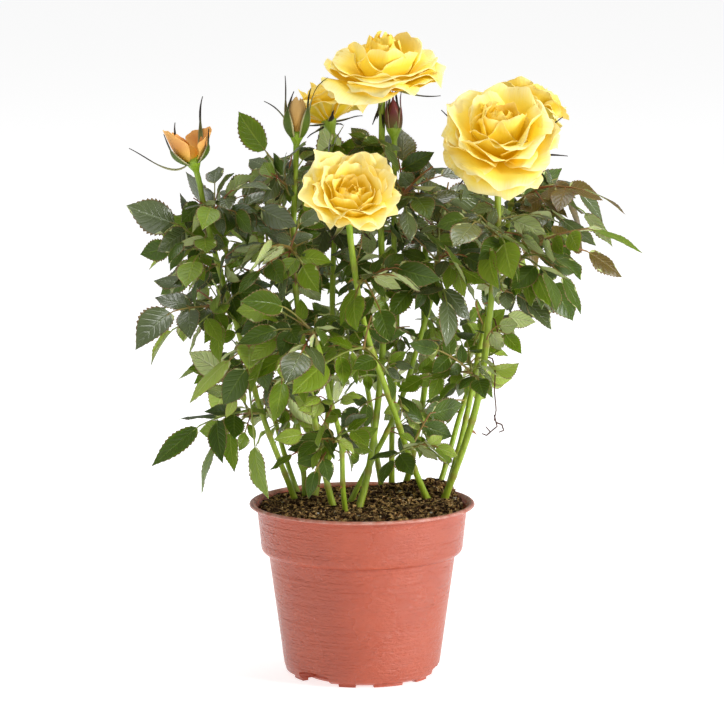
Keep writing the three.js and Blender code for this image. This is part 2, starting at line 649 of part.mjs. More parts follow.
function settle(leaf) {
  for (const leaflet of leaf.leaflets)
    for (const point of leafletSamples(leaflet)) grown.push({ point, room: LEAF_ROOM });
  for (const point of rachisSamples(leaf)) grown.push({ point, room: TWIG_ROOM });
}

// A shoot's line from its cane's side, or from the cane's tip, arching to its aim.
function shootLine(shoot) {
  const cane = CANES[shoot.cane];
  const aim = vec(shoot.aim);
  const origin = onCane(cane, shoot.at);
  const tangent = caneTangent(cane, shoot.at);
  const atTip = shoot.at === 1;
  const leave = atTip ? tangent : square(aim.clone().sub(origin), tangent);
  const start = along(origin, leave, FACET_SLACK + CLEAR + (atTip ? 0 : caneRadius(cane, shoot.at)));
  const stub = along(start, leave, 1.6);
  const span = aim.distanceTo(stub);
  const joint = Math.max(0.15, 1 - RACHIS / span); // where the last leaf begins
  const arch = (t) =>
    along(new THREE.Vector3().lerpVectors(stub, aim, t), UP, SHOOT_ARCH * span * Math.sin(Math.PI * t));
  return { start, knots: polyline((t) => arch(joint * t), 3) };
}

// Twigs are laid out before any leaf, so that every leaf keeps clear of all of them.
const shootLines = Object.values(SHOOTS).map(shootLine);
for (const { knots } of shootLines)
  for (const point of polyline((t) => onKnots(knots, mix(0.06, 1, t)), TWIG_SAMPLES))
    grown.push({ point, room: TWIG_ROOM });


// All the leaves of one shoot: the last one at its aim, the others turned out round it.
function growShoot(shoot, { start, knots }, seed) {
  const base = knots[knots.length - 1];
  const way = vec(shoot.aim).sub(base);
  const reach = way.length() / Math.hypot(1, RACHIS_SAG);
  const lift = along(way, UP, RACHIS_SAG * reach);
  const last = compoundLeaf(base, lift.clone().normalize(), lift.length(), shoot.size, seed, 0);
  last.leaflets = last.leaflets.filter(leafletFits);
  const leaves = [last];
  settle(last);
  for (let i = 1; i <= shoot.leaves; i++) {
    const t = mix(0.28, 0.98, (i - 0.5) / shoot.leaves);
    const from = onKnots(knots, t);
    const tangent = onKnots(knots, t + 0.03).sub(onKnots(knots, t - 0.03)).normalize();
    const across = square(new THREE.Vector3(0.3, 0.2, 1), tangent);
    const third = tangent.clone().cross(across);
    let best = null;
    for (let k = 0; k < TRIES; k++) {
      const turn = i * GOLDEN + k * 0.7 + 0.6 * chance(seed, i, 40 + k);
      const lean = 0.85 + 0.5 * chance(seed, i, 60 + k);
      const heading = tangent.clone().multiplyScalar(Math.cos(lean));
      heading.addScaledVector(across, Math.sin(lean) * Math.cos(turn));
      heading.addScaledVector(third, Math.sin(lean) * Math.sin(turn));
      heading.z += 0.12;
      heading.normalize();
      const size = shoot.size * (0.84 + 0.2 * chance(seed, i, 80));
      const reach = RACHIS * mix(0.65, 0.95, chance(seed, i, 90 + k));
      const leaf = compoundLeaf(from, heading, reach, size, seed, i);
      if (!rachisFits(leaf)) continue;
      leaf.leaflets = leaf.leaflets.filter(leafletFits);
      if (leaf.leaflets.length > (best ? best.leaflets.length : LEAST_LEAFLETS - 1)) best = leaf;
    }
    if (best) {
      leaves.push(best);
      settle(best);
    }
  }
  return { start, knots, leaves };
}

// Solids that already stand, for the last test of each leaf.
const standing = [];

function stand(solid) {
  standing.push({ solid, box: solid.boundingBox() });
  return solid;
}

function touches(piece) {
  const { min, max } = piece.boundingBox();
  return standing.some(({ solid, box }) => {
    const apart = [0, 1, 2].some((i) => min[i] > box.max[i] + CLEAR || max[i] < box.min[i] - CLEAR);
    return !apart && solid.minGap(piece, 2 * CLEAR) < CLEAR;
  });
}

function makeShoot({ start, knots, leaves }) {
  const thick = mix(TWIG.start, TWIG.end, 0.45);
  const pieces = [tube([start, ...knots], (t) => mix(TWIG.start, thick, t), TWIG.sides)];
  for (const leaf of leaves) {
    const stalk = tube(leaf.knots, (u) => mix(thick * 0.9, TWIG.end, u), TWIG.sides);
    if (touches(stalk)) continue;
    pieces.push(stalk);
    for (const { root, way, face, length } of leaf.leaflets) {
      const blade = leafBlade(root, way, face, length, LEAFLET_WIDTH, LEAFLET_DROOP);
      if (!touches(blade)) pieces.push(blade);
    }
  }
  return fuse(pieces);
}

// --------------------------------------------------------------------------- the plant

const FINISH = {
  pot: new THREE.MeshStandardMaterial({ color: 0xc06048, roughness: 0.42, metalness: 0 }),
  soil: new THREE.MeshStandardMaterial({ color: 0x38261a, roughness: 0.95, metalness: 0 }),
  cane: new THREE.MeshStandardMaterial({ color: 0x7fae3a, roughness: 0.5, metalness: 0 }),
  leaf: new THREE.MeshStandardMaterial({ color: 0x3f5f2e, roughness: 0.5, metalness: 0 }),
  petal: new THREE.MeshStandardMaterial({ color: 0xf6c944, roughness: 0.55, metalness: 0 }),
  bud: new THREE.MeshStandardMaterial({ color: 0x9a9a3c, roughness: 0.5, metalness: 0 }),
};

const plant = new THREE.Group();

function place(name, solid, finish) {
  const mesh = new THREE.Mesh(geometryOf(stand(solid)), finish);
  mesh.name = name;
  plant.add(mesh);
}

place("pot", makePot(), FINISH.pot);
place("soil", makeSoil(), FINISH.soil);
const ground = makeSoil(CLEAR);
for (const [name, cane] of Object.entries(CANES))
  place("cane_" + name, makeCane(cane, ground), FINISH.cane);
for (const [name, flower] of Object.entries(FLOWERS))
  place(name, makeFlower(flower), flower.open < BUD.open ? FINISH.bud : FINISH.petal);
Object.entries(SHOOTS).forEach(([name, shoot], i) =>
  place(name, makeShoot(growShoot(shoot, shootLines[i], i + 1)), FINISH.leaf),
);

export default plant;
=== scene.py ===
"""A miniature rose in a terracotta-coloured nursery pot: its looks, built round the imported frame.

Shapes are worked out in millimetres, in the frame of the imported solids, and become metres when a
mesh is made. The canes, shoots and leaves follow the same rule as the solids, carried on to finer
leaves within the same reach.
"""

import json
import logging
import math
from dataclasses import dataclass, field
from enum import Enum
from typing import Callable, Iterable, Sequence

import bpy
import numpy as np
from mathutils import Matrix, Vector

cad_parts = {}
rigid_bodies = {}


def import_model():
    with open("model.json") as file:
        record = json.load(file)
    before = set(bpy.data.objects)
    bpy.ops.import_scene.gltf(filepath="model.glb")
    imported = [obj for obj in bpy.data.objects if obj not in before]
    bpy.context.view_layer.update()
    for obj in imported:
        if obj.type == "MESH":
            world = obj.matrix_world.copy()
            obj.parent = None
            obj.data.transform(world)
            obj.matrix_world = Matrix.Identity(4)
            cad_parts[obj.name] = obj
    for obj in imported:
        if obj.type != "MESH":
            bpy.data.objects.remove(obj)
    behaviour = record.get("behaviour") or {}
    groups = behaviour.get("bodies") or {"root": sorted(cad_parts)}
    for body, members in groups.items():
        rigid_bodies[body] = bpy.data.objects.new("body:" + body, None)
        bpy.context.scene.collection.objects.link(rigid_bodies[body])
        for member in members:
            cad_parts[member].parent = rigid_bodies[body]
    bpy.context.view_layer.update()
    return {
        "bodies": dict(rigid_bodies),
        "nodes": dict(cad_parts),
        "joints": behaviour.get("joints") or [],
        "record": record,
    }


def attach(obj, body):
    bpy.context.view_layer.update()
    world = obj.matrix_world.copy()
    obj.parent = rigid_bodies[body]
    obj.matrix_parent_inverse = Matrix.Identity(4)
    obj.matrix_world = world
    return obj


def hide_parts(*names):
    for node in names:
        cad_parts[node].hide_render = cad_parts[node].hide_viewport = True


log = logging.getLogger("rose")

Array = np.ndarray
Pair = tuple[float, float]
Triple = tuple[float, float, float]
Color = Triple  # red, green and blue as displayed, 0 to 255
Socket = bpy.types.NodeSocket
Material = bpy.types.Material
MM = 0.001  # metres in a millimetre
UP = np.array([0.0, 0.0, 1.0])
EAST = np.array([1.0, 0.0, 0.0])
NORTH = np.array([0.0, 1.0, 0.0])
GOLDEN = 2.399963  # radians between one leaf or petal and the next
AROUND = 6.28  # nearly a full turn, in radians


# ---- small helpers


def chance(a: float | Array, b: float | Array, c: float | Array) -> float | Array:
    """A repeatable value from 0 to 1: the fraction of a large sine of three whole numbers.

    Args:
        a: First number, or an array of them.
        b: Second number.
        c: Third number.

    Returns:
        The value, or an array of values.
    """
    wave = np.sin(a * 12.9898 + b * 78.233 + c * 37.719) * 43758.5453
    return wave - np.floor(wave)


def evenly(count: int) -> Array:
    """Even steps from 0 to 1."""
    return np.linspace(0, 1, count)


def mix(a: float | Array, b: float | Array, t: float | Array) -> float | Array:
    """The value a share t of the way from a to b."""
    return a + (b - a) * t


def unit(v: Array) -> Array:
    """Vectors along the last axis at unit length."""
    return v / np.linalg.norm(v, axis=-1, keepdims=True)


def square(v: Array, n: Array) -> Array:
    """The part of v at right angles to the unit vector n, at unit length."""
    return unit(v - np.sum(v * n, axis=-1, keepdims=True) * n)


def smooth(t: Array) -> Array:
    """A soft step: 3t^2 - 2t^3 of t held between 0 and 1."""
    t = np.clip(t, 0.0, 1.0)
    return t * t * (3 - 2 * t)


def polyline(curve: Callable[[float], Array], steps: int) -> Array:
    """The points of a curve of 0 to 1 at even steps."""
    return np.array([curve(i / steps) for i in range(steps + 1)])


def on_knots(knots: Array, t: float) -> Array:
    """The point at a share t of the straight pieces between knots."""
    at = min(t, 1.0) * (len(knots) - 1)
    i = min(int(math.floor(at)), len(knots) - 2)
    return knots[i] + (knots[i + 1] - knots[i]) * (at - i)


def value_noise(x: Array, y: Array, seed: int) -> Array:
    """Smooth noise from -1 to 1: repeatable values at whole numbers, blended by soft steps.

    Args:
        x: First coordinate.
        y: Second coordinate.
        seed: Which noise.

    Returns:
        The noise at each place.
    """
    x0, y0 = np.floor(x), np.floor(y)
    fx, fy = smooth(x - x0), smooth(y - y0)
    low = mix(chance(x0, y0, seed), chance(x0 + 1, y0, seed), fx)
    high = mix(chance(x0, y0 + 1, seed), chance(x0 + 1, y0 + 1, seed), fx)
    return 2 * mix(low, high, fy) - 1


# ---- meshes from arrays


@dataclass
class Skin:
    """A mesh in the making, in millimetres.

    points is (n, 3); corners are the vertex numbers of all faces in a row, and starts is where
    each face begins among them; slots is each face's material; uv and shade belong to points.
    """

    points: Array
    corners: Array
    starts: Array
    slots: Array
    uv: Array
    shade: Array

    @staticmethod
    def of_faces(points: Array, faces: Array, slot: int = 0, uv: Array | None = None) -> "Skin":
        """A skin whose faces all have the same number of corners.

        Args:
            points: (n, 3) points.
            faces: (m, k) vertex numbers.
            slot: The material of every face.
            uv: (n, 2) surface coordinates.

        Returns:
            The skin.
        """
        count, corners = faces.shape
        flat, starts, slots = faces.reshape(-1), np.arange(count) * corners, np.full(count, slot)
        uv = np.zeros((len(points), 2)) if uv is None else uv
        return Skin(points, flat, starts, slots, uv, np.zeros(len(points)))

    def shaded(self, value: float | Array) -> "Skin":
        """The same skin with one shade, or one for each point."""
        self.shade = np.broadcast_to(np.asarray(value, float), (len(self.points),)).copy()
        return self

    def capped(self, loops: Array) -> "Skin":
        """The same skin with one more face for each row of vertex numbers."""
        begin = len(self.corners) + np.arange(len(loops)) * loops.shape[1]
        self.starts = np.concatenate([self.starts, begin])
        self.corners = np.concatenate([self.corners, loops.ravel()])
        self.slots = np.full(len(self.starts), self.slots[0])
        return self


def joined(skins: Iterable[Skin]) -> Skin:
    """One skin from many, with the vertex numbers moved on."""
    parts = list(skins)
    first = np.cumsum([0] + [len(part.points) for part in parts])
    begin = np.cumsum([0] + [len(part.corners) for part in parts])
    corners = np.concatenate([part.corners + n for part, n in zip(parts, first)])
    starts = np.concatenate([part.starts + n for part, n in zip(parts, begin)])
    points, slots, uv, shade = (
        np.concatenate([getattr(part, key) for part in parts]) for key in ("points", "slots", "uv", "shade")
    )
    return Skin(points, corners, starts, slots, uv, shade)


def grid_faces(rows: int, columns: int, wrap: bool = False, flip: bool = False) -> Array:
    """The quads of a grid of points numbered row by row.

    Args:
        rows: Points along the first parameter.
        columns: Points along the second.
        wrap: True where the last column joins the first.
        flip: True to turn every face round.

    Returns:
        (m, 4) vertex numbers.
    """
    last = columns if wrap else columns - 1
    i, k = (grid.ravel() for grid in np.meshgrid(np.arange(rows - 1), np.arange(last), indexing="ij"))
    here, after = i * columns, (i + 1) * columns
    right = (k + 1) % columns
    quads = np.stack([here + k, here + right, after + right, after + k], 1)
    return quads[:, ::-1] if flip else quads


def tubes(paths: Array, radii: Array, sides: int, relief: Array | None = None) -> Skin:
    """Tapering tubes with closed ends, all made at once.

    Each ring lies in the plane across its path: point = path + radius * relief * (across *
    cos turn + third * sin turn), where across is a fixed direction made square to the path.

    Args:
        paths: (count, rings, 3) middle lines.
        radii: (count, rings) radii.
        sides: Points round each ring.
        relief: (count, rings, sides) factors on the radius, or None.

    Returns:
        One skin of all the tubes. uv is the share round and the share along.
    """
    count, rings, _ = paths.shape
    ahead = np.concatenate([paths[:, 1:], paths[:, -1:]], 1)
    behind = np.concatenate([paths[:, :1], paths[:, :-1]], 1)
    tangent = unit(ahead - behind)
    chord = unit(paths[:, -1] - paths[:, 0])
    upright = np.abs(chord[:, 2:]) > 0.8
    reference = np.where(upright, EAST, UP)[:, None, :]
    across = square(np.broadcast_to(reference, tangent.shape), tangent)
    third = np.cross(tangent, across)
    turn = 2 * np.pi * np.arange(sides) / sides
    out = across[:, :, None] * np.cos(turn)[:, None] + third[:, :, None] * np.sin(turn)[:, None]
    size = np.broadcast_to(radii[:, :, None], (count, rings, sides))
    if relief is not None:
        size = size * relief
    points = (paths[:, :, None] + out * size[..., None]).reshape(-1, 3)
    each = rings * sides
    offset = np.arange(count)[:, None, None] * each
    wall = (grid_faces(rings, sides, wrap=True)[None] + offset).reshape(-1, 4)
    ring = np.arange(sides)
    caps = np.stack([ring[::-1], (rings - 1) * sides + ring])[None] + offset
    share = np.meshgrid(np.arange(sides) / sides, evenly(rings))
    uv = np.tile(np.stack([share[0].ravel(), share[1].ravel()], 1), (count, 1))
    return Skin.of_faces(points, wall, 0, uv).capped(caps.reshape(-1, sides))


def shell(top: Array, bottom: Array, uv: Array, slots: tuple[int, int] = (0, 0)) -> Skin:
    """A closed thin shell between two grids of the same size, joined by a strip round their rim.

    Args:
        top: (rows, columns, 3) points of the upper side.
        bottom: The same for the lower side.
        uv: (rows, columns, 2) surface coordinates.
        slots: The materials of the upper and the lower side.

    Returns:
        The skin.
    """
    rows, columns = top.shape[:2]
    count = rows * columns
    number = np.arange(count).reshape(rows, columns)
    rim = np.concatenate([number[0, :-1], number[:-1, -1], number[-1, :0:-1], number[:0:-1, 0]])
    after = np.roll(rim, -1)
    edge = np.stack([after, rim, rim + count, after + count], 1)
    sides = grid_faces(rows, columns), grid_faces(rows, columns, flip=True) + count
    faces = np.concatenate([*sides, edge])
    points = np.concatenate([top.reshape(-1, 3), bottom.reshape(-1, 3)])
    skin = Skin.of_faces(points, faces, slots[0], np.tile(uv.reshape(-1, 2), (2, 1)))
    quads = (rows - 1) * (columns - 1)
    skin.slots[quads : 2 * quads] = slots[1]
    return skin


def make_piece(
    name: str,
    skin: Skin,
    finishes: Sequence[Material],
    slot: str,
    nodes: Sequence[str] = (),
    crease: float = 55,
) -> None:
    """Puts a skin into a mesh object, dresses it and lets it ride on the plant.

    Args:
        name: The piece's name.
        skin: Its shape in millimetres.
        finishes: Its materials, in slot order.
        slot: Not used.
        nodes: The solids that it stands for.
        crease: Edges sharper than this many degrees stay sharp.
    """
    mesh = bpy.data.meshes.new(name)
    mesh.vertices.add(len(skin.points))
    mesh.loops.add(len(skin.corners))
    mesh.polygons.add(len(skin.starts))
    mesh.vertices.foreach_set("co", (skin.points * MM).astype(np.float32).ravel())
    mesh.loops.foreach_set("vertex_index", skin.corners.astype(np.int32))
    mesh.polygons.foreach_set("loop_start", skin.starts.astype(np.int32))
    mesh.polygons.foreach_set("material_index", skin.slots.astype(np.int32))
    layer = mesh.uv_layers.new(name="surface")
    layer.uv.foreach_set("vector", skin.uv[skin.corners].astype(np.float32).ravel())
    shade = mesh.attributes.new("shade", "FLOAT", "POINT")
    shade.data.foreach_set("value", skin.shade.astype(np.float32))
    mesh.update(calc_edges=True)
    mesh.validate()
    mesh.shade_smooth()
    mesh.set_sharp_from_angle(angle=math.radians(crease))
    for finish in finishes:
        mesh.materials.append(finish)
    piece = bpy.data.objects.new(name, mesh)
    bpy.context.scene.collection.objects.link(piece)
    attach(piece, "root")
    if nodes:
        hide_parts(*nodes)
    log.info("%s: %d faces, stands for %s", name, len(skin.starts), ", ".join(nodes) or "no solid")


# ---- finishes


class Bench:
    """A new material and the nodes that are laid out in it."""

    def __init__(self, name: str) -> None:
        """Starts a material with its principled shader."""
        self.material = bpy.data.materials.new(name)
        self.material.use_nodes = True
        self.tree = self.material.node_tree
        self.shader = self.tree.nodes["Principled BSDF"]

    def node(self, kind: str, **settings: object) -> bpy.types.Node:
        """Adds a node and sets its properties."""
        made = self.tree.nodes.new(kind)
        for key, value in settings.items():
            setattr(made, key, value)
        return made

    def link(self, source: Socket, target: Socket) -> None:
        """Joins an output to an input."""
        self.tree.links.new(source, target)

    def set(self, **values: float | tuple) -> None:
        """Sets the shader's own sockets; a name's underscores stand for spaces."""
        for key, value in values.items():
            self.shader.inputs[key.replace("_", " ")].default_value = value

    def place(self, scale: Triple = (1, 1, 1), own: bool = False) -> Socket:
        """Coordinates in metres, or the piece's own surface coordinates, times a scale."""
        source = self.node("ShaderNodeTexCoord").outputs["UV" if own else "Object"]
        mapping = self.node("ShaderNodeMapping")
        mapping.inputs["Scale"].default_value = scale
        self.link(source, mapping.inputs["Vector"])
        return mapping.outputs[0]

    def surface(self) -> tuple[Socket, Socket]:
        """The piece's two own surface coordinates."""
        parts = self.node("ShaderNodeSeparateXYZ")
        self.link(self.place(own=True), parts.inputs[0])
        return parts.outputs[0], parts.outputs[1]

    def noise(self, where: Socket, scale: float, detail: float = 3, rough: float = 0.5) -> Socket:
        """Cloudy noise at a place."""
        made = self.node("ShaderNodeTexNoise")
        self.link(where, made.inputs["Vector"])
        made.inputs["Scale"].default_value = scale
        made.inputs["Detail"].default_value = detail
        made.inputs["Roughness"].default_value = rough
        return made.outputs[0]

    def attribute(self, name: str) -> Socket:
        """A value that the mesh holds."""
        return self.node("ShaderNodeAttribute", attribute_name=name).outputs["Fac"]

    def feed(self, given: object, socket: Socket) -> None:
        """Links a socket to another, or sets it to a number or a colour."""
        if isinstance(given, Socket):
            self.link(given, socket)
        else:
            socket.default_value = (*linear(given), 1.0) if isinstance(given, tuple) else given

    def math(self, operation: str, a: object, b: object = 0.0) -> Socket:
        """Arithmetic on two sockets or numbers."""
        made = self.node("ShaderNodeMath", operation=operation)
        self.feed(a, made.inputs[0])
        self.feed(b, made.inputs[1])
        return made.outputs[0]

    def times(self, a: object, b: object) -> Socket:
        """The product of two sockets or numbers."""
        return self.math("MULTIPLY", a, b)

    def plus(self, a: object, b: object) -> Socket:
        """The sum of two sockets or numbers."""
        return self.math("ADD", a, b)

    def ramp(self, value: Socket, low: float, high: float) -> Socket:
        """0 below low and 1 above high, and a straight rise between."""
        made = self.node("ShaderNodeMapRange", clamp=True)
        self.link(value, made.inputs["Value"])
        made.inputs["From Min"].default_value = low
        made.inputs["From Max"].default_value = high
        return made.outputs[0]

    def blend(self, share: object, a: object, b: object) -> Socket:
        """A colour a share of the way from a to b."""
        made = self.node("ShaderNodeMix", data_type="RGBA")
        for given, socket in ((share, 0), (a, 6), (b, 7)):
            self.feed(given, made.inputs[socket])
        return made.outputs[2]

    def color(self, source: Socket) -> None:
        """Gives the shader its base colour."""
        self.link(source, self.shader.inputs["Base Color"])

    def bump(self, height: Socket, depth_mm: float, strength: float = 1.0) -> None:
        """Raises the surface by a height of 0 to 1 times a depth."""
        made = self.node("ShaderNodeBump")
        made.inputs["Distance"].default_value = depth_mm * MM
        made.inputs["Strength"].default_value = strength
        self.link(height, made.inputs["Height"])
        self.link(made.outputs[0], self.shader.inputs["Normal"])


def linear(color: Color) -> Color:
    """A display colour as the linear values of 0 to 1 that a shader takes."""
    shares = np.array(color) / 255
    curve = np.where(shares <= 0.04045, shares / 12.92, ((shares + 0.055) / 1.055) ** 2.4)
    return tuple(float(x) for x in curve)


@dataclass(frozen=True)
class PotPlastic:
    """Thin moulded plastic: satin, crinkled in fine level wrinkles, with a few dark specks, and
    pale where its shade is high, on the lip: partly wear, partly a painted highlight."""

    name: str = "terracotta_plastic"
    base: Color = (190, 84, 50)
    dark: Color = (172, 70, 42)
    speck: Color = (120, 52, 40)
    scuff_and_highlight: Color = (236, 206, 192)
    roughness: float = 0.26

    def make(self) -> Material:
        """Returns the material."""
        b = Bench(self.name)
        where = b.place()
        cloud = b.noise(where, 22, 4, 0.6)
        specks = b.noise(where, 700, 2, 0.5)
        base = b.blend(b.ramp(cloud, 0.25, 0.75), self.dark, self.base)
        # Pale on the lip: partly wear, partly a painted highlight along its rounded edge.
        wear_and_highlight = b.times(b.attribute("shade"), b.ramp(b.noise(where, 160, 4, 0.7), 0.3, 0.7))
        specked = b.blend(b.times(b.ramp(specks, 0.7, 0.76), 0.45), base, self.speck)
        b.color(b.blend(b.times(wear_and_highlight, 0.55), specked, self.scuff_and_highlight))
        rings = b.noise(b.place((9, 9, 560)), 1.0, 1, 0.5)
        crinkle = b.noise(b.place((300, 300, 800)), 1.0, 4, 0.65)
        wobble = b.noise(b.place((60, 60, 40)), 1.0, 1, 0.5)
        fine = b.plus(b.times(rings, 0.6), b.times(crinkle, 0.8))
        b.bump(b.plus(fine, b.times(wobble, 0.4)), 1.3, 1.0)
        gloss = b.plus(b.times(cloud, 0.18), self.roughness - 0.08)
        b.link(gloss, b.shader.inputs["Roughness"])
        b.set(Specular_IOR_Level=0.75)
        return b.material


@dataclass(frozen=True)
class Earth:
    """Potting soil: dark, matt and fibrous, mottled between two browns."""

    name: str
    dark: Color
    light: Color
    grain: float = 420.0
    depth_mm: float = 1.2

    def make(self) -> Material:
        """Returns the material."""
        b = Bench(self.name)
        where = b.place()
        mottled = b.noise(where, self.grain, 5, 0.7)
        patches = b.noise(where, self.grain / 7, 3, 0.6)
        share = b.times(b.ramp(mottled, 0.5, 0.62), b.ramp(patches, 0.2, 0.55))
        b.color(b.blend(share, self.dark, self.light))
        b.bump(mottled, self.depth_mm)
        b.set(Roughness=0.93, Specular_IOR_Level=0.2)
        return b.material


@dataclass(frozen=True)
class Bark:
    """The skin of a green stem: streaks along it, and a warmer tone where its shade is high."""

    name: str
    base: Color
    streak: Color
    knot: Color
    roughness: float = 0.42

    def make(self) -> Material:
        """Returns the material."""
        b = Bench(self.name)
        streaks = b.noise(b.place((1300, 1300, 70)), 1.0, 3, 0.6)
        cloud = b.noise(b.place(), 60, 3, 0.5)
        green = b.blend(b.ramp(streaks, 0.35, 0.7), self.base, self.streak)
        toned = b.times(b.attribute("shade"), b.ramp(cloud, 0.1, 0.55))
        b.color(b.blend(toned, green, self.knot))
        b.bump(streaks, 0.12)
        b.set(Roughness=self.roughness, Specular_IOR_Level=0.45)
        return b.material


@dataclass(frozen=True)
class LeafFace:
    """One side of a leaflet: faint side veins, a paler midrib, and a darker line along its margin."""

    name: str
    base: Color
    vein: Color
    margin: Color
    roughness: float
    gloss: float = 0.32
    side_share: float = 0.1
    midrib_share: float = 0.55
    margin_share: float = 0.75
    glow: float = 0.0
    depth_mm: float = 0.16
    side_veins: float = 7.0

    def make(self) -> Material:
        """Returns the material. The side veins are lines of along - 0.3 * |across|."""
        b = Bench(self.name)
        along, aside = b.surface()
        across = b.math("ABSOLUTE", aside)
        slanted = b.math("SUBTRACT", along, b.times(across, 0.3))
        wave = b.math("COSINE", b.times(slanted, 2 * math.pi * self.side_veins))
        side = b.times(b.ramp(wave, 0.4, 1.0), b.ramp(across, 0.95, 0.6))
        midrib = b.ramp(across, 0.085, 0.02)
        cells = b.noise(b.place(), 420, 3, 0.55)
        cloud = b.noise(b.place(), 95, 2, 0.5)
        lively = b.plus(b.times(b.attribute("shade"), 0.3), b.times(cloud, 0.22))
        toned = b.blend(lively, self.base, self.vein)
        veined = b.blend(b.times(side, self.side_share), toned, self.vein)
        ribbed = b.blend(b.times(midrib, self.midrib_share), veined, self.vein)
        edge = b.times(b.ramp(across, 0.88, 0.97), self.margin_share)
        b.color(b.blend(edge, ribbed, self.margin))
        ridges = b.math("SUBTRACT", b.times(cells, 0.8), b.plus(side, midrib))
        b.bump(ridges, self.depth_mm)
        b.set(Roughness=self.roughness, Specular_IOR_Level=self.gloss)
        b.set(Subsurface_Weight=self.glow, Subsurface_Scale=0.001, Subsurface_Radius=(0.5, 1.0, 0.1))
        return b.material


@dataclass(frozen=True)
class PetalSilk:
    """A petal: deep at its claw, clear in the middle and pale at its edge, finely ribbed, with a
    faint glow in its claw colour, painted light for light shining through it.
    """

    name: str
    claw: Color
    middle: Color
    edge: Color
    rim_from: float = 0.76
    glow: float = 0.1

    def make(self) -> Material:
        """Returns the material. The surface's second coordinate runs from claw to tip."""
        b = Bench(self.name)
        aside, along = b.surface()
        across = b.math("ABSOLUTE", aside)
        ribs = b.noise(b.place((22, 1.4, 1), own=True), 1.0, 3, 0.6)
        cloud = b.noise(b.place(), 70, 3, 0.5)
        uneven = b.times(b.math("SUBTRACT", b.plus(cloud, ribs), 1.0), 0.22)
        outer = b.plus(along, uneven)
        warm = b.blend(b.ramp(outer, 0.12, 0.66), self.claw, self.middle)
        rim = b.math("MAXIMUM", b.ramp(outer, self.rim_from, 1.0), b.ramp(across, self.rim_from, 1.05))
        pale = b.blend(b.times(rim, 0.8), warm, self.edge)
        # The shade mixes in the claw colour: in blooms it is partly painted shade of the bloom's depths and
        # painted light through the petals' outer sides; in buds it marks the tight inner petals.
        b.color(b.blend(b.times(b.attribute("shade"), 0.7), pale, self.claw))
        b.bump(b.plus(ribs, b.times(cloud, 0.5)), 0.16, 0.7)
        b.set(Roughness=0.55, Specular_IOR_Level=0.2)
        # Painted light: a faint glow in the claw colour stands in for light shining through the petal.
        b.set(Emission_Color=(*linear(self.claw), 1), Emission_Strength=self.glow)
        return b.material


@dataclass(frozen=True)
class SepalSkin:
    """A sepal: green with a pale felted margin, darkening towards its thread of a tip."""

    name: str
    base: Color
    margin: Color
    tip: Color
    dark_from: float = 0.45

    def make(self) -> Material:
        """Returns the material. The surface's second coordinate runs from root to tip."""
        b = Bench(self.name)
        aside, along = b.surface()
        across = b.math("ABSOLUTE", aside)
        fibres = b.noise(b.place((14, 3, 1), own=True), 1.0, 3, 0.6)
        felt = b.times(b.ramp(across, 0.72, 0.92), 0.75)
        edged = b.blend(felt, self.base, self.margin)
        b.color(b.blend(b.ramp(along, self.dark_from, self.dark_from + 0.35), edged, self.tip))
        b.bump(fibres, 0.15)
        b.set(Roughness=0.55, Specular_IOR_Level=0.35)
        return b.material


@dataclass(frozen=True)
class Plain:
    """A small thing's matt skin, mottled between two colours."""

    name: str
    base: Color
    other: Color
    roughness: float = 0.6

    def make(self) -> Material:
        """Returns the material."""
        b = Bench(self.name)
        cloud = b.noise(b.place(), 350, 3, 0.6)
        b.color(b.blend(b.ramp(cloud, 0.35, 0.7), self.base, self.other))
        b.bump(cloud, 0.1)
        b.set(Roughness=self.roughness, Specular_IOR_Level=0.35)
        return b.material


class Tint(Enum):
    """The leaf colours, which are dealt out by spray."""

    DEEP = 0
    SLATE = 1
    MIDDLE = 2
    BRIGHT = 3
    BRONZE = 4


# Slate's grey-green is partly a painted sheen, and the bright and middle yellow-greens partly painted light
# shining through leaves.
LEAF_FINISHES = {
    Tint.DEEP: LeafFace("leaf_deep", (52, 74, 0), (102, 124, 40), (96, 44, 22), 0.34, glow=0.1),
    Tint.SLATE: LeafFace("leaf_slate", (66, 80, 30), (126, 140, 96), (104, 46, 32), 0.27, 0.85),
    Tint.MIDDLE: LeafFace(
        "leaf_middle", (90, 116, 2), (156, 174, 64), (104, 66, 22), 0.36, 0.24, glow=0.14
    ),
    Tint.BRIGHT: LeafFace(
        "leaf_bright", (142, 164, 44), (200, 210, 130), (140, 108, 40), 0.38, 0.24, glow=0.18
    ),
    Tint.BRONZE: LeafFace("leaf_bronze", (88, 72, 16), (138, 116, 58), (126, 40, 26), 0.32, 0.45, glow=0.1),
}
LEAF_BACK = LeafFace(
    "leaf_back", (172, 186, 112), (214, 220, 170), (150, 92, 66), 0.6,
    side_share=0.3, midrib_share=0.8, glow=0.1, depth_mm=0.3,
)
LEAF_BACK_SLOT = len(Tint)
ALL = 1.1  # a limit above every chance


# ---- pot and soil


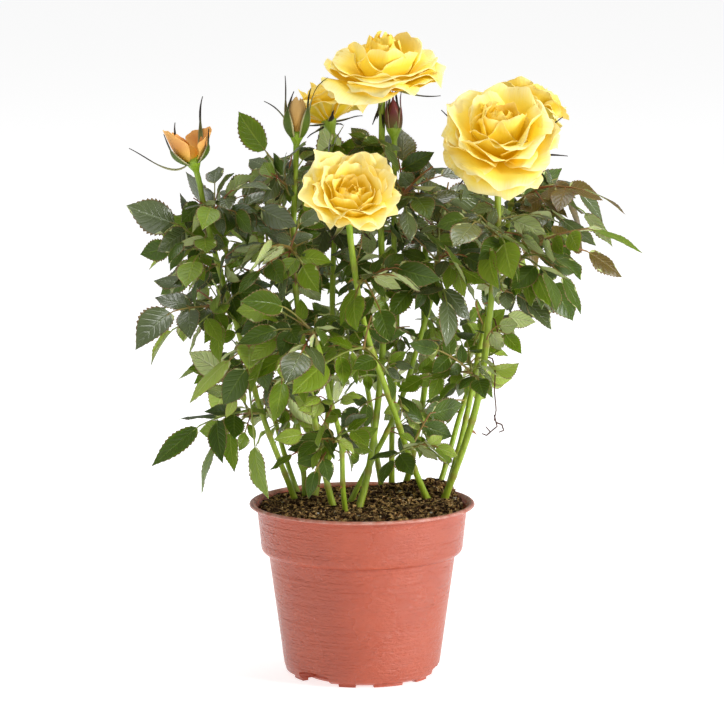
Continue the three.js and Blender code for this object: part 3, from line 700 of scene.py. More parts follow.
@dataclass
class Pot:
    """The nursery pot: a flared lip, a collar, ribbed sides, drainage arches and lugs below."""

    wall: float = 1.2
    pad_radius: float = 30
    base_z: float = 1.4
    base_radius: float = 38.3
    foot_radius: float = 41.6
    foot_z: float = 6
    waist_radius: float = 49.8
    waist_z: float = 65.5
    collar_radius: float = 53.8
    collar_z: float = 69.6
    top_radius: float = 55.9
    lip_radius: float = 60
    height: float = 93
    arch_first: float = -40
    arch_count: int = 3
    arch_width: float = 21
    arch_height: float = 5
    arch_inner: float = 31
    lip: tuple[Pair, ...] = (
        (1.2, 2), (0.25, 1.75), (0, 1.3), (0.1, 0.8), (0.7, 0.25), (1.4, 0), (2.1, 0.15), (2.8, 0.75),
    )  # how far in and how far down from the pot's widest and highest
    lug_ring: Pair = (34.5, 38)
    lugs: tuple[Pair, ...] = ((-12, 14), (22, 25), (57, 15))
    steps: int = 360

    def turns(self) -> Array:
        """Angles round the pot in degrees, even but with close pairs at each arch's and lug's edge."""
        half = math.degrees(self.arch_width / 2 / self.foot_radius)
        edges = []
        for i in range(self.arch_count):
            middle = self.arch_first + 360 / self.arch_count * i
            edges += [middle - half, middle + half]
            for angle, width in self.lugs:
                shift = 360 / self.arch_count * i + angle
                edges += [shift - width / 2, shift + width / 2]
        pairs = np.array([[e - 0.12, e + 0.12] for e in edges]).ravel() % 360
        even = np.arange(self.steps) * 360 / self.steps
        far = np.abs((even[:, None] - pairs + 180) % 360 - 180).min(1) > 0.3
        return np.sort(np.concatenate([even[far], pairs]))

    def arch_rise(self, degrees: Array) -> Array:
        """How far the foot is lifted at an angle: flat under the arch's crown, 0 outside it."""
        spread = 360 / self.arch_count
        off = (degrees - self.arch_first + spread / 2) % spread - spread / 2
        across = np.radians(off) * self.foot_radius / (self.arch_width / 2)
        crown = 1 - 0.3 * np.abs(across) ** 3
        return np.where(np.abs(across) < 1, self.arch_height * crown, 0.0)

    def lug_drop(self, degrees: Array) -> Array:
        """1 at an angle where a lug is, 0 elsewhere."""
        spread = 360 / self.arch_count
        inside = np.zeros(len(degrees), bool)
        for angle, width in self.lugs:
            off = (degrees - angle + spread / 2) % spread - spread / 2
            inside |= np.abs(off) < width / 2
        return inside.astype(float)

    def skin(self) -> Skin:
        """The whole pot as rings of (radius, height) at each angle, from under the base, up the
        outside, over the lip and down the inside to its floor.

        Returns:
            The skin, closed by a disc at each end of the profile.
        """
        degrees = self.turns()
        rise = self.arch_rise(degrees)
        base = self.base_z + rise
        low = np.where(self.lug_drop(degrees) > 0, 0.0, base)
        lug_in, lug_out = self.lug_ring
        pad, inner, foot, waist = self.pad_radius, self.arch_inner, self.foot_radius, self.waist_radius
        collar, top, high = self.collar_radius, self.top_radius, self.height
        foot_mid = mix(self.base_radius, foot, 0.7)
        lower = np.maximum(base + 0.4, self.foot_z)
        rings = [
            (pad * 0.5, 0.0),
            (pad - 0.4, 0.0),
            (pad, 0.15),
            (pad + 0.9, self.base_z - 0.1),
            (inner, self.base_z),
            (inner + 0.1, base),
            (lug_in, base),
            (lug_in + 0.1, low),
            (lug_out - 0.1, low),
            (lug_out, base),
            (self.base_radius, base),
            (foot_mid + 0.6 * (rise > 0), np.maximum(base, mix(self.base_z, self.foot_z, 0.3))),
            (foot - 0.15 * (rise <= 0), lower - 0.3),
            (foot, lower),
        ]
        for s in np.linspace(self.arch_height / (self.waist_z - self.foot_z), 1, 18):
            rings.append((mix(foot, waist, s), mix(self.foot_z, self.waist_z, s)))
        for a in np.linspace(0.25, math.pi / 2, 7):
            z = mix(self.waist_z, self.collar_z, 1 - math.cos(a))
            rings.append((mix(waist, collar, math.sin(a)), z))
        for s in np.linspace(0.06, 1, 10):
            rings.append((mix(collar, top, s), mix(self.collar_z, high - 3.2, s)))
        rings += [(top + 0.35, high - 3.0), (top + 0.5, high - 2.4)]
        rings += [(self.lip_radius - inset, high - drop) for inset, drop in self.lip]
        rings += [(top + 0.3, high - 1.8), (top - 0.6, high - 3.0), (top - self.wall - 0.05, high - 4.6)]
        for s in np.linspace(0.7, 0, 8):
            rings.append((mix(collar, top, s) - self.wall, mix(self.collar_z, high, s)))
        floor_z = self.base_z + self.arch_height + self.wall + 1
        rings += [
            (waist - self.wall, self.waist_z),
            (foot - self.wall, floor_z + 1),
            (foot - self.wall - 1, floor_z),
            (pad * 0.5, floor_z),
        ]
        radius, z = (np.array([np.broadcast_to(x, degrees.shape) for x in row]) for row in zip(*rings))
        turn = np.radians(degrees)
        points = np.stack([radius * np.sin(turn), -radius * np.cos(turn), z], -1).reshape(-1, 3)
        count, columns = radius.shape
        wall = grid_faces(count, columns, wrap=True)
        uv = np.stack(np.broadcast_arrays(degrees / 360, evenly(count)[:, None]), -1).reshape(-1, 2)
        loop = np.arange(columns)
        skin = Skin.of_faces(points, wall, 0, uv)
        skin.capped(np.stack([loop[::-1], (count - 1) * columns + loop]))
        # The lip's top gets a high shade, which the plastic paints pale: partly wear, partly a painted
        # highlight.
        lip = (radius > self.lip_radius - 2.9) & (z > self.height - 1.4)
        return skin.shaded(lip.ravel().astype(float))

    def build(self) -> None:
        """Builds and dresses the pot."""
        make_piece("nursery_pot", self.skin(), [PotPlastic().make()], "pot_plastic", ["pot"], 38)


@dataclass
class Soil:
    """The potting soil: a rough heap of fine crumbs inside the pot."""

    pot: Pot
    edge_z: float = 89.6
    crown_rise: float = 2.2
    heap_rise: float = 6.5
    roughness: float = 1.3
    heap: Pair = (34, 30)
    heap_spread: float = 500
    clear: float = 0.3
    mound: Pair = (45, 25)
    mound_rise: float = 5.5
    mound_spread: float = 170
    crumbs: int = 4200
    bits: int = 2600

    BOX = np.array([(0, 1, 3, 2), (4, 6, 7, 5), (0, 4, 5, 1), (2, 3, 7, 6), (0, 2, 6, 4), (1, 5, 7, 3)])

    def height(self, x: float | Array, y: float | Array) -> float | Array:
        """Height of the soil: its edge, plus a low dome, a heap, and two slow waves."""
        r = np.hypot(x, y) / (self.pot.top_radius - self.pot.wall)
        heap = np.exp(-((x - self.heap[0]) ** 2 + (y - self.heap[1]) ** 2) / self.heap_spread)
        rough = np.sin(x * 0.31 + 1) * np.cos(y * 0.27) + np.sin(x * 0.13 - y * 0.21)
        inside = np.maximum(0, 1 - r * r)
        raised = self.crown_rise * inside + self.heap_rise * heap * np.minimum(1, inside * 2.5)
        return self.edge_z + raised + self.roughness * rough * 0.5 * np.minimum(1, inside * 4)

    def drawn_height(self, x: Array, y: Array) -> Array:
        """The height as drawn: the soil's height plus a steep mound against the wall."""
        inside = np.maximum(0, 1 - (np.hypot(x, y) / (self.pot.top_radius - self.pot.wall)) ** 2)
        mound = np.exp(-((x - self.mound[0]) ** 2 + (y - self.mound[1]) ** 2) / self.mound_spread)
        return self.height(x, y) + self.mound_rise * mound * np.minimum(1, inside * 12)

    def surface_radius(self) -> float:
        """The radius of the soil's top, just inside the wall."""
        p = self.pot
        return mix(p.collar_radius, p.top_radius, 0.85) - p.wall - self.clear

    def body(self) -> Skin:
        """The soil as rings out from the middle of its top, over the edge and down to its floor.

        The top's height is the drawn height plus three noises of falling size.

        Returns:
            The closed skin.
        """
        columns, rows = 220, 62
        turn = 2 * np.pi * np.arange(columns) / columns
        share = np.linspace(0.02, 1, rows)[:, None]
        radius = self.surface_radius() * share
        x, y = radius * np.sin(turn), -radius * np.cos(turn)
        grain = 0.55 * value_noise(x / 3.1, y / 3.1, 3) + 0.45 * value_noise(x / 1.5, y / 1.5, 5)
        grain += 0.3 * value_noise(x / 0.8, y / 0.8, 7)
        z = self.drawn_height(x, y) + grain * 1.15 * (1 - smooth((share - 0.97) * 33))
        low = np.stack([x[-1] * 0.985, y[-1] * 0.985, np.full(columns, 78.0)], -1)
        points = np.concatenate([np.stack([x, y, z], -1), low[None]]).reshape(-1, 3)
        count = rows + 1
        loop = np.arange(columns)
        skin = Skin.of_faces(points, grid_faces(count, columns, wrap=True, flip=True))
        return skin.capped(np.stack([loop, count * columns - 1 - loop]))

    def lumps(self, count: int, low: float, high: float, flat: float, seed: int, slot: int) -> Skin:
        """Crumbs strewn on the soil: eight-cornered lumps of uneven size, half sunk.

        Each corner is the crumb's middle plus its size times a cube corner bent to a ball and
        moved by chance.

        Args:
            count: How many.
            low: Least size.
            high: Most size.
            flat: Height as a share of width.
            seed: Which crumbs.
            slot: Their material.

        Returns:
            The skin.
        """
        number = np.arange(count)
        radius = self.surface_radius() * np.sqrt(chance(number, seed, 1)) * 0.985
        turn = 2 * np.pi * chance(number, seed, 2)
        x, y = radius * np.sin(turn), -radius * np.cos(turn)
        size = mix(low, high, chance(number, seed, 3) ** 2.2)
        corner = np.array([[i, j, k] for i in (-1, 1) for j in (-1, 1) for k in (-1, 1)]) * 0.58
        which = np.arange(8)[None] + seed
        jitter = np.stack([chance(number[:, None], which, axis) for axis in (11, 12, 13)], -1)
        form = corner[None] * (0.7 + 0.7 * jitter)
        spin = 2 * np.pi * chance(number, seed, 4)[:, None]
        a, b = form[..., 0].copy(), form[..., 1] * mix(0.55, 1.0, chance(number, seed, 5))[:, None]
        form[..., 0] = a * np.cos(spin) - b * np.sin(spin)
        form[..., 1] = a * np.sin(spin) + b * np.cos(spin)
        form[..., 2] *= flat
        middle = np.stack([x, y, self.drawn_height(x, y) + 0.45 * size * flat], -1)
        points = (middle[:, None] + form * size[:, None, None]).reshape(-1, 3)
        faces = (self.BOX[None] + 8 * number[:, None, None]).reshape(-1, 4)
        return Skin.of_faces(points, faces, slot)

    def build(self) -> None:
        """Builds the soil's body, its crumbs, and the pale bits among them."""
        dark = Earth("peat_dark", (48, 28, 10), (232, 188, 120)).make()
        warm = Earth("peat_warm", (112, 76, 38), (250, 224, 166)).make()
        bark = Plain("bark_bits", (206, 172, 120), (240, 220, 178), 0.8).make()
        pale = Plain("white_bits", (226, 220, 208), (190, 182, 168), 0.7).make()
        make_piece("potting_soil", self.body(), [dark], "potting_soil", ["soil"], 180)
        coarse = self.lumps(self.crumbs, 0.7, 2.6, 0.8, 1, 0)
        crumbs = joined([coarse, self.lumps(self.crumbs // 2, 0.6, 1.9, 0.7, 2, 1)])
        make_piece("soil_crumbs", crumbs, [dark, warm], "potting_soil", crease=20)
        chips = self.lumps(self.bits, 0.5, 1.7, 0.5, 3, 0)
        bits = joined([chips, self.lumps(self.bits // 20, 0.9, 1.7, 0.8, 4, 1)])
        make_piece("soil_bits", bits, [bark, pale], "potting_soil", crease=20)


# ---- the canes


class Clump(Enum):
    """The four places where canes rise from the soil."""

    LEFT = "left"
    FRONT = "front"
    RIGHT = "right"
    BACK = "back"


@dataclass(frozen=True)
class Cane:
    """A cane from its foot in the soil to its tip; spread is how early it leans, bow its bulge."""

    clump: Clump
    foot: Pair
    tip: Triple
    spread: float
    bow: Pair
    girth: float


CANES = {
    "left_bud": Cane(Clump.LEFT, (-35, 17), (-85, -12, 264), 1.05, (-3, -4), 1.9),
    "left_back": Cane(Clump.LEFT, (-26, 18), (-15, 26, 280), 3, (1, 3), 2.0),
    "left_leafy": Cane(Clump.LEFT, (-30.5, 23), (-50, 44, 214), 0.5, (0, 2), 1.8),
    "mid_bud": Cane(Clump.FRONT, (-14.5, -15), (-34.5, -14, 278), 1.6, (-4, -6), 2.0),
    "top": Cane(Clump.FRONT, (-2.5, -15), (10.5, -3, 303), 6, (0, -4), 2.2),
    "front": Cane(Clump.RIGHT, (36, 6), (-6, -36, 239), 1.2, (-3, -3), 2.1),
    "right": Cane(Clump.RIGHT, (43, 9), (71, -8, 265), 2.2, (1, -4), 2.3),
    "far_right": Cane(Clump.RIGHT, (44.5, 17), (83, 42, 277), 1.3, (0, 3), 1.9),
    "closed_bud": Cane(Clump.BACK, (16, 40), (17, -4, 280), 1.1, (1, 2), 1.9),
    "back_leafy": Cane(Clump.BACK, (22.5, 42), (34, 34, 226), 4, (0, 0), 2.1),
    "centre_front": Cane(Clump.FRONT, (-8.5, -21.5), (-24, -46, 186), 0.8, (2, -2), 1.7),
    "centre_right": Cane(Clump.FRONT, (-8, -9.5), (40, 6, 222), 1.3, (3, 3), 1.8),
    "back_left": Cane(Clump.LEFT, (-33.5, 29.5), (-74, 56, 222), 1, (-2, 4), 1.7),
    "back_centre": Cane(Clump.BACK, (11.5, 46), (-10, 72, 238), 1.2, (0, 4), 1.8),
    "back_right": Cane(Clump.RIGHT, (40, 24.5), (72, 66, 224), 1.1, (4, 3), 1.8),
}


WITHERED = (
    ((0, 0, 0), (4, -1, -1), (5.5, -2, -8), (5, -2, -18), (6, -3, -28), (5, -3, -34)),
    ((5, -2, -31), (6.5, -3, -37), (3, -3, -40), (0.5, -4, -37)),
    ((6, -3, -35), (9, -3, -36), (10, -4, -39), (7.5, -4, -40)),
    ((3, -3, -40), (1, -2, -42), (-1.5, -2, -41)),
    ((0, 0, 22), (5, -2, 20), (7, -2, 12), (6.5, -2, 4)),
)  # the dead threads' places from the right cane, in millimetres


@dataclass
class Canes:
    """All the canes: where they run, how thick they are, and their skins, knots and thorns."""

    soil: Soil
    sunk: float = 2
    steps: int = 6
    step_power: float = 1.35
    taper: float = 0.4
    wave: float = 1.1
    root_flare: float = 0.5
    knot_gap: float = 24
    knot_swell: float = 0.13
    sides: int = 14
    rings: int = 150
    slender: Pair = (0.78, 0.76)

    def point(self, cane: Cane, t: float | Array) -> Array:
        """The cane's line: its foot and tip mixed by 1 - (1 - t)^spread, plus a bulge and a wave."""
        t = np.asarray(t, float)
        x0, y0 = cane.foot
        x1, y1, z1 = cane.tip
        z0 = self.soil.height(x0, y0) - self.sunk
        lean = 1 - (1 - t) ** cane.spread
        bulge = np.sin(np.pi * t)
        wave = self.wave * bulge
        x = mix(x0, x1, lean) + cane.bow[0] * bulge + wave * np.sin(9 * t + x0)
        y = mix(y0, y1, lean) + cane.bow[1] * bulge + wave * np.sin(11 * t + y0)
        return np.stack([x, y, mix(z0, z1, t)], -1)

    def radius(self, cane: Cane, t: float | Array) -> float | Array:
        """The cane's radius: a straight taper and a flare at the foot."""
        return cane.girth * (1 - self.taper * t) + self.root_flare * np.exp(-t * 22)

    def drawn_radius(self, cane: Cane, t: float | Array) -> float | Array:
        """The radius as drawn: nearly even from foot to tip, but for the flare at the foot."""
        return cane.girth * mix(*self.slender, t) + self.root_flare * np.exp(-t * 22)

    def knots(self, cane: Cane) -> Array:
        """The corners of the cane's solid."""
        return self.point(cane, (np.arange(self.steps + 1) / self.steps) ** self.step_power)

    def on(self, cane: Cane, t: float) -> Array:
        """A point on the middle line of the cane's solid."""
        return on_knots(self.knots(cane), t ** (1 / self.step_power))

    def tangent(self, cane: Cane, t: float) -> Array:
        """The cane's direction, over a short step each way."""
        step = 0.02
        return unit(self.on(cane, min(1, t + step)) - self.on(cane, max(0, t - step)))

    def knot_shares(self, cane: Cane, seed: int) -> Array:
        """Where the cane's knots are, as shares of its height, unevenly spaced."""
        height = cane.tip[2] - self.soil.edge_z
        count = int(height / self.knot_gap)
        number = np.arange(count)
        return (number + 0.55 + 0.5 * chance(number, seed, 51)) / (count + 0.4)

    def skin(self, cane: Cane, seed: int) -> Skin:
        """A cane's skin: a tube whose radius swells at each knot and ripples a little round it.

        relief = 1 + swell * exp(-(distance to the knot)^2) + ripple.

        Args:
            cane: The cane.
            seed: Which ripples.

        Returns:
            The skin, with its shade high at the knots and the foot.
        """
        t = evenly(self.rings)
        path = self.point(cane, t)
        length = cane.tip[2] - self.soil.edge_z
        off = (t[:, None] - self.knot_shares(cane, seed)) * length
        above = np.exp(-((off + 0.6) ** 2) / 3.2).sum(1)
        side = 2 * np.pi * np.arange(self.sides) / self.sides
        lean = seed + np.floor(t * length / self.knot_gap) * GOLDEN
        facing = 0.5 + 0.5 * np.cos(side[None] - lean[:, None])
        ripple = 0.035 * value_noise(side[None] * 1.6 + seed, t[:, None] * 26, seed)
        relief = 1 + self.knot_swell * above[:, None] * (0.6 + 0.8 * facing) + ripple
        skin = tubes(path[None], self.drawn_radius(cane, t)[None], self.sides, relief[None])
        foot = np.exp(-t * 30)
        patch = 0.12 * (value_noise(t * 9, t * 0, seed) > 0.3)
        warm = np.clip(above * 0.75 + foot * 0.6 + patch, 0, 1)
        return skin.shaded(np.repeat(warm, self.sides))

    def touched(self, points: Array) -> Array:
        """True for each point within a cane's skin, or closer to it than a leaf is thick."""
        hit = np.zeros(points.shape[:-1], bool)
        share = evenly(self.rings)
        for cane in CANES.values():
            x, y, z = self.point(cane, share).T
            t = np.interp(points[..., 2], z, share)
            east = points[..., 0] - np.interp(t, share, x)
            off = np.hypot(east, points[..., 1] - np.interp(t, share, y))
            within = (points[..., 2] > z[0]) & (points[..., 2] < z[-1])
            hit |= within & (off < 1.15 * self.drawn_radius(cane, t) + 0.2)
        return hit

    def thorns(self) -> Skin:
        """Small hooked thorns below some knots: cones whose line bends down as it leaves."""
        roots, ways, sizes, bends = [], [], [], []
        for number, cane in enumerate(CANES.values()):
            shares = self.knot_shares(cane, number + 1)
            for k, share in enumerate(shares[shares < 0.9]):
                if chance(number, k, 61) < 0.45:
                    continue
                t = max(0.05, share - 0.03 - 0.02 * chance(number, k, 62))
                tangent = unit(self.point(cane, t + 0.01) - self.point(cane, t - 0.01))
                turn = 2 * math.pi * chance(number, k, 63)
                out = square(np.array([math.cos(turn), math.sin(turn), 0.1]), tangent)
                roots.append(self.point(cane, t) + out * self.drawn_radius(cane, t) * 0.8)
                ways.append(out)
                bends.append(-tangent)
                sizes.append(mix(1.8, 3.1, chance(number, k, 64)))
        root, way, bend = (np.array(rows)[:, None] for rows in (roots, ways, bends))
        size = np.array(sizes)[:, None, None]
        s = evenly(5)[:, None]
        paths = root + way * size * s + bend * size * 0.45 * s**2
        radii = size[..., 0] * 0.3 * (1 - 0.93 * s.T**0.8)
        return tubes(paths, radii, 6)

    def withered(self) -> Skin:
        """What hangs dead from the right cane: a dry thread, and a curled spray of old stalks."""
        start = self.point(CANES["right"], 0.47)
        lines = []
        for route in WITHERED:
            knots = start + np.array(route, float)
            lines.append([on_knots(knots, t) for t in evenly(22)])
        radii = np.tile(mix(0.42, 0.28, evenly(22)), (len(lines), 1))
        return tubes(np.array(lines), radii, 6)

    def build(self) -> None:
        """Builds each cane and the thorns."""
        bark = Bark("green_bark", (126, 156, 14), (166, 188, 58), (142, 130, 46)).make()
        for seed, (name, cane) in enumerate(CANES.items(), 1):
            make_piece("stem_" + name, self.skin(cane, seed), [bark], "green_cane", ["cane_" + name])
        thorn = Plain("thorn_skin", (150, 92, 52), (172, 128, 66), 0.5).make()
        make_piece("thorns", self.thorns(), [thorn], "green_cane")
        dry = Plain("withered_brown", (92, 48, 30), (64, 36, 26), 0.8).make()
        make_piece("withered_bits", self.withered(), [dry], "green_cane", crease=75)


# ---- flowers


@dataclass(frozen=True)
class Flower:
    """A bloom or bud: the cane it ends, the way it faces, its half width and how open it is."""

    cane: str
    axis: Triple
    radius: float
    open: float
    seed: int


FLOWERS = {
    "bloom_top": Flower("top", (0.04, -0.2, 1), 32, 0.92, 3),
    "bloom_front": Flower("front", (0.02, -0.86, 0.62), 27, 0.62, 7),
    "bloom_right": Flower("right", (-0.05, -0.75, 0.8), 33, 0.8, 11),
    "bloom_right_back": Flower("far_right", (0.35, 0.45, 0.85), 23, 0.8, 17),
    "bloom_left_back": Flower("left_back", (0.1, 0.35, 0.95), 22, 0.75, 23),
    "bud_left": Flower("left_bud", (-0.3, -0.15, 1), 9.5, 0.16, 31),
    "bud_mid": Flower("mid_bud", (0.02, -0.05, 1), 7, 0.06, 37),
    "bud_closed": Flower("closed_bud", (-0.03, -0.05, 1), 4.6, 0, 41),
}
BUD_OPEN = 0.3  # a flower that is less open is a bud
STALK = 4  # a flower's own stalk, each side of its bend
CLEAR = 0.3


@dataclass(frozen=True)
class FlowerFrame:
    """Where a flower's stalk starts, bends and carries the hip, and its three directions."""

    axis: Array
    start: Array
    bend: Array
    base: Array
    side: Array
    third: Array
    radius: float

    def outward(self, turn: float | Array) -> Array:
        """The way out from the axis at an angle round it."""
        turn = np.asarray(turn, float)[..., None]
        return self.side * np.cos(turn) + self.third * np.sin(turn)


@dataclass(frozen=True)
class Ring:
    """A ring of petals. Radius is how far out its tips stand and half their half width, as shares
    of the bloom's radius. belly and curl bow the spine outwards at its two ends, cup bends the
    petal round the axis, ruffle waves its edge, point draws out its tip, roll turns its sides
    back, and depth is how much of the claw's deep colour it has: partly the rose's own deeper
    heart, partly painted shade in the bloom's depths."""

    count: int
    radius: float
    half: float
    belly: float
    curl: float
    cup: float
    ruffle: float
    point: float
    roll: float
    depth: float


RINGS = (
    Ring(5, 0.08, 0.18, 0.55, -0.55, 1.00, 0.045, 0.01, 0.00, 0.70),
    Ring(5, 0.19, 0.28, 0.55, -0.50, 1.00, 0.052, 0.01, 0.01, 0.50),
    Ring(5, 0.33, 0.38, 0.60, -0.35, 0.95, 0.054, 0.01, 0.03, 0.34),
    Ring(5, 0.48, 0.48, 0.55, -0.20, 0.85, 0.058, 0.02, 0.06, 0.20),
    Ring(6, 0.65, 0.55, 0.45, 0.00, 0.70, 0.060, 0.02, 0.08, 0.10),
    Ring(5, 0.83, 0.64, 0.35, 0.20, 0.55, 0.066, 0.04, 0.11, 0.03),
    Ring(5, 1.00, 0.66, 0.25, 0.40, 0.38, 0.072, 0.06, 0.15, 0.0),
)
SKIRT = Ring(5, 0.96, 0.56, 0.05, 0.70, 0.25, 0.075, 0.07, 0.18, 0.0)


@dataclass(frozen=True)
class Bowl:
    """How high a bloom's petal tips stand, as shares of its radius: in its heart, half way out,
    at its rim, and in the loose ring below. axis and lift place the bloom on its stalk, loose is
    how far its petals stray, skipped are the rings that it does without, spread is how wide
    it is drawn, and sag is how far its outer petals have dropped, about sag_turn."""

    heart: float
    shoulder: float
    rim: float
    skirt: float
    axis: Triple
    lift: float = 0.0
    loose: float = 1.0
    skipped: tuple[int, ...] = ()
    spread: float = 1.0
    sag: float = 0.0
    sag_turn: float = 0.0


BOWLS = {
    "bloom_top": Bowl(0.86, 0.76, 0.42, 0.30, (0.04, -0.24, 1), -2.0, 2.1, (2, 4), 1.04, 0.12, 1.9),
    "bloom_front": Bowl(0.68, 0.94, 0.90, 0.72, (0.06, -0.72, 0.78), 2.6, 1.2, (), 0.92),
    "bloom_right": Bowl(0.82, 0.92, 0.62, 0.34, (0.06, -0.62, 0.85), 4.0, 3.1, (3,), 0.97, 0.4, 4.3),
    "bloom_right_back": Bowl(0.86, 0.88, 0.58, 0.30, (0.3, 0.45, 0.85), 2.5, 1.5, (2, 4)),
    "bloom_left_back": Bowl(0.88, 0.90, 0.62, 0.40, (-0.3, 0.3, 0.95), 1.0, 1.8, (2, 4), 0.95),
}


@dataclass(frozen=True)
class Blade:
    """A petal or sepal as it is drawn: root and tip are its places out from the axis and up it,
    in millimetres, and limit is how far round the axis it may wrap, in radians each way."""

    turn: float
    root: Pair
    tip: Pair
    belly: float
    curl: float
    half: float
    cup: float = 0.0
    ruffle: float = 0.0
    point: float = 0.0
    roll: float = 0.0
    limit: float = 1.5
    rounding: float = 0.3


BUD_PETALS = {
    "bud_left": (
        Blade(0.4, (1.6, 4.4), (1.4, 15), 0.5, -0.4, 7.0, 1.0, 0.02, 0.02, 0.0, 1.3, 0.3),
        Blade(3.2, (1.8, 4.4), (3.2, 14), 0.6, -0.4, 8.0, 1.0, 0.02, 0.02, 0.0, 1.3, 0.3),
        Blade(1.1, (2.0, 4.4), (6.5, 20.5), 0.6, -0.2, 11.0, 1.0, 0.02, 0.04, 0.01, 1.2, 0.5),
        Blade(5.0, (2.2, 4.4), (14.0, 18.0), 0.5, -0.1, 16.0, 1.0, 0.02, 0.0, 0.03, 1.5, 0.25),
        Blade(1.95, (2.4, 4.4), (10.4, 25.5), 0.62, -0.15, 13.5, 1.0, 0.02, 0.0, 0.02, 1.3, 0.42),
    ),
    "bud_mid": (
        Blade(0.3, (1.6, 4.4), (1.2, 23), 0.5, -0.4, 7.0, 1.0, 0.03, 0.0, 0.0, 1.3, 0.3),
        Blade(5.0, (1.8, 4.4), (2.8, 22.5), 0.7, -0.5, 8.5, 1.0, 0.03, 0.02, 0.01, 1.3, 0.3),
        Blade(1.5, (1.9, 4.4), (3.0, 22.5), 0.7, -0.5, 9.0, 1.0, 0.03, 0.02, 0.01, 1.3, 0.3),
        Blade(2.9, (2.0, 4.4), (3.2, 23.5), 0.75, -0.5, 8.0, 1.0, 0.03, 0.02, 0.03, 1.3, 0.26),
        Blade(3.9, (2.0, 4.4), (3.0, 22.5), 0.75, -0.5, 6.5, 1.0, 0.03, 0.02, 0.03, 1.3, 0.26),
    ),
}
SEPALS = {
    "bloom_top": (
        Blade(1.75, (2, 5), (23, 3), 0.1, 0.2, 1.7),
        Blade(4.5, (2, 5), (31, 4), 0.1, -0.3, 1.7),
        Blade(3.3, (2, 4), (7, -15), 1.1, -0.3, 1.6),
        Blade(2.6, (2, 4), (9, -13), 1.1, -0.3, 1.5),
        Blade(0.3, (2, 4), (8, -15), 1.1, -0.3, 1.6),
    ),
    "bloom_front": (
        Blade(4.2, (2, 5), (22, 3), 0.3, -0.4, 1.7),
        Blade(5.3, (2, 5), (20, 4), 0.3, -0.4, 1.7),
        Blade(0.4, (2, 5), (20, 8), 0.3, 0.2, 1.7),
        Blade(1.6, (2, 5), (21, 9), 0.3, 0.2, 1.7),
        Blade(2.9, (2, 5), (21, 8), 0.3, 0.2, 1.7),
    ),
    "bloom_right": (
        Blade(2.55, (2, 5), (37, 15), 0.3, -0.2, 1.5),
        Blade(0.5, (2, 5), (38, 16), 0.3, -0.2, 1.5),
        Blade(-0.1, (2, 5), (36, 8), 0.2, 0.1, 1.4),
        Blade(3.9, (2, 4), (30, -2), 0.3, 0.5, 1.7),
        Blade(5.1, (2, 4), (21, -6), 0.3, 0.5, 1.7),
    ),
    "bloom_right_back": tuple(
        Blade(0.4 + 1.26 * i, (2, 4), (19, 1 + 2 * (i % 2)), 0.3, 0.2, 1.6) for i in range(5)
    ),
    "bloom_left_back": tuple(
        Blade(0.9 + 1.26 * i, (2, 4), (18, 2 + 2 * (i % 3)), 0.3, 0.2, 1.6) for i in range(5)
    ),
    "bud_left": (
        Blade(1.57, (3.0, 3.6), (30, 21), 1.1, -0.2, 1.5),
        Blade(2.2, (3.9, 3.6), (12.2, 24.5), 0.7, -0.3, 3.6, 0.7),
        Blade(4.1, (4.0, 3.6), (16.5, 21.0), 0.62, -0.2, 3.4, 0.6),
        Blade(5.6, (3.6, 3), (22, 32.5), 0.4, 0.3, 2.0),
        Blade(0.9, (3.0, 3), (4, 26.6), 0.5, -0.6, 1.9),
    ),
    "bud_mid": (
        Blade(2.35, (3.7, 3), (2.4, 27), 0.8, -0.5, 3.8, 0.8),
        Blade(1.2, (3.4, 3), (7, 34.5), 0.3, 0.0, 2.6, 0.5),
        Blade(1.3, (2.6, 3), (18, 20.5), -0.4, 0.5, 1.3),
        Blade(4.6, (3.6, 3), (16, 34.5), 0.0, 0.7, 3.2, 0.6),
        Blade(4.0, (3.8, 3), (9.5, 29.5), 0.42, 0.2, 3.6, 0.8),
    ),
    "bud_closed": (
        Blade(0.6, (2.6, 2), (2.6, 29), 0.5, 0.05, 2.9, 0.8),
        Blade(1.9, (2.6, 2), (4.0, 27), 0.46, 0.2, 2.9, 0.8),
        Blade(3.1, (2.6, 2), (1.6, 26), 0.5, -0.1, 2.9, 0.8),
        Blade(4.4, (2.6, 2), (5.0, 25), 0.44, 0.25, 2.9, 0.8),
        Blade(5.6, (2.6, 2), (2.0, 27), 0.5, 0.0, 2.9, 0.8),
    ),
}


def blade_grid(rows: int, columns: int) -> list[Array]:
    """Grids of the shares along a blade, from 0 to 1, and across it, from -1 to 1."""
    return np.meshgrid(evenly(rows), np.linspace(-1, 1, columns), indexing="ij")


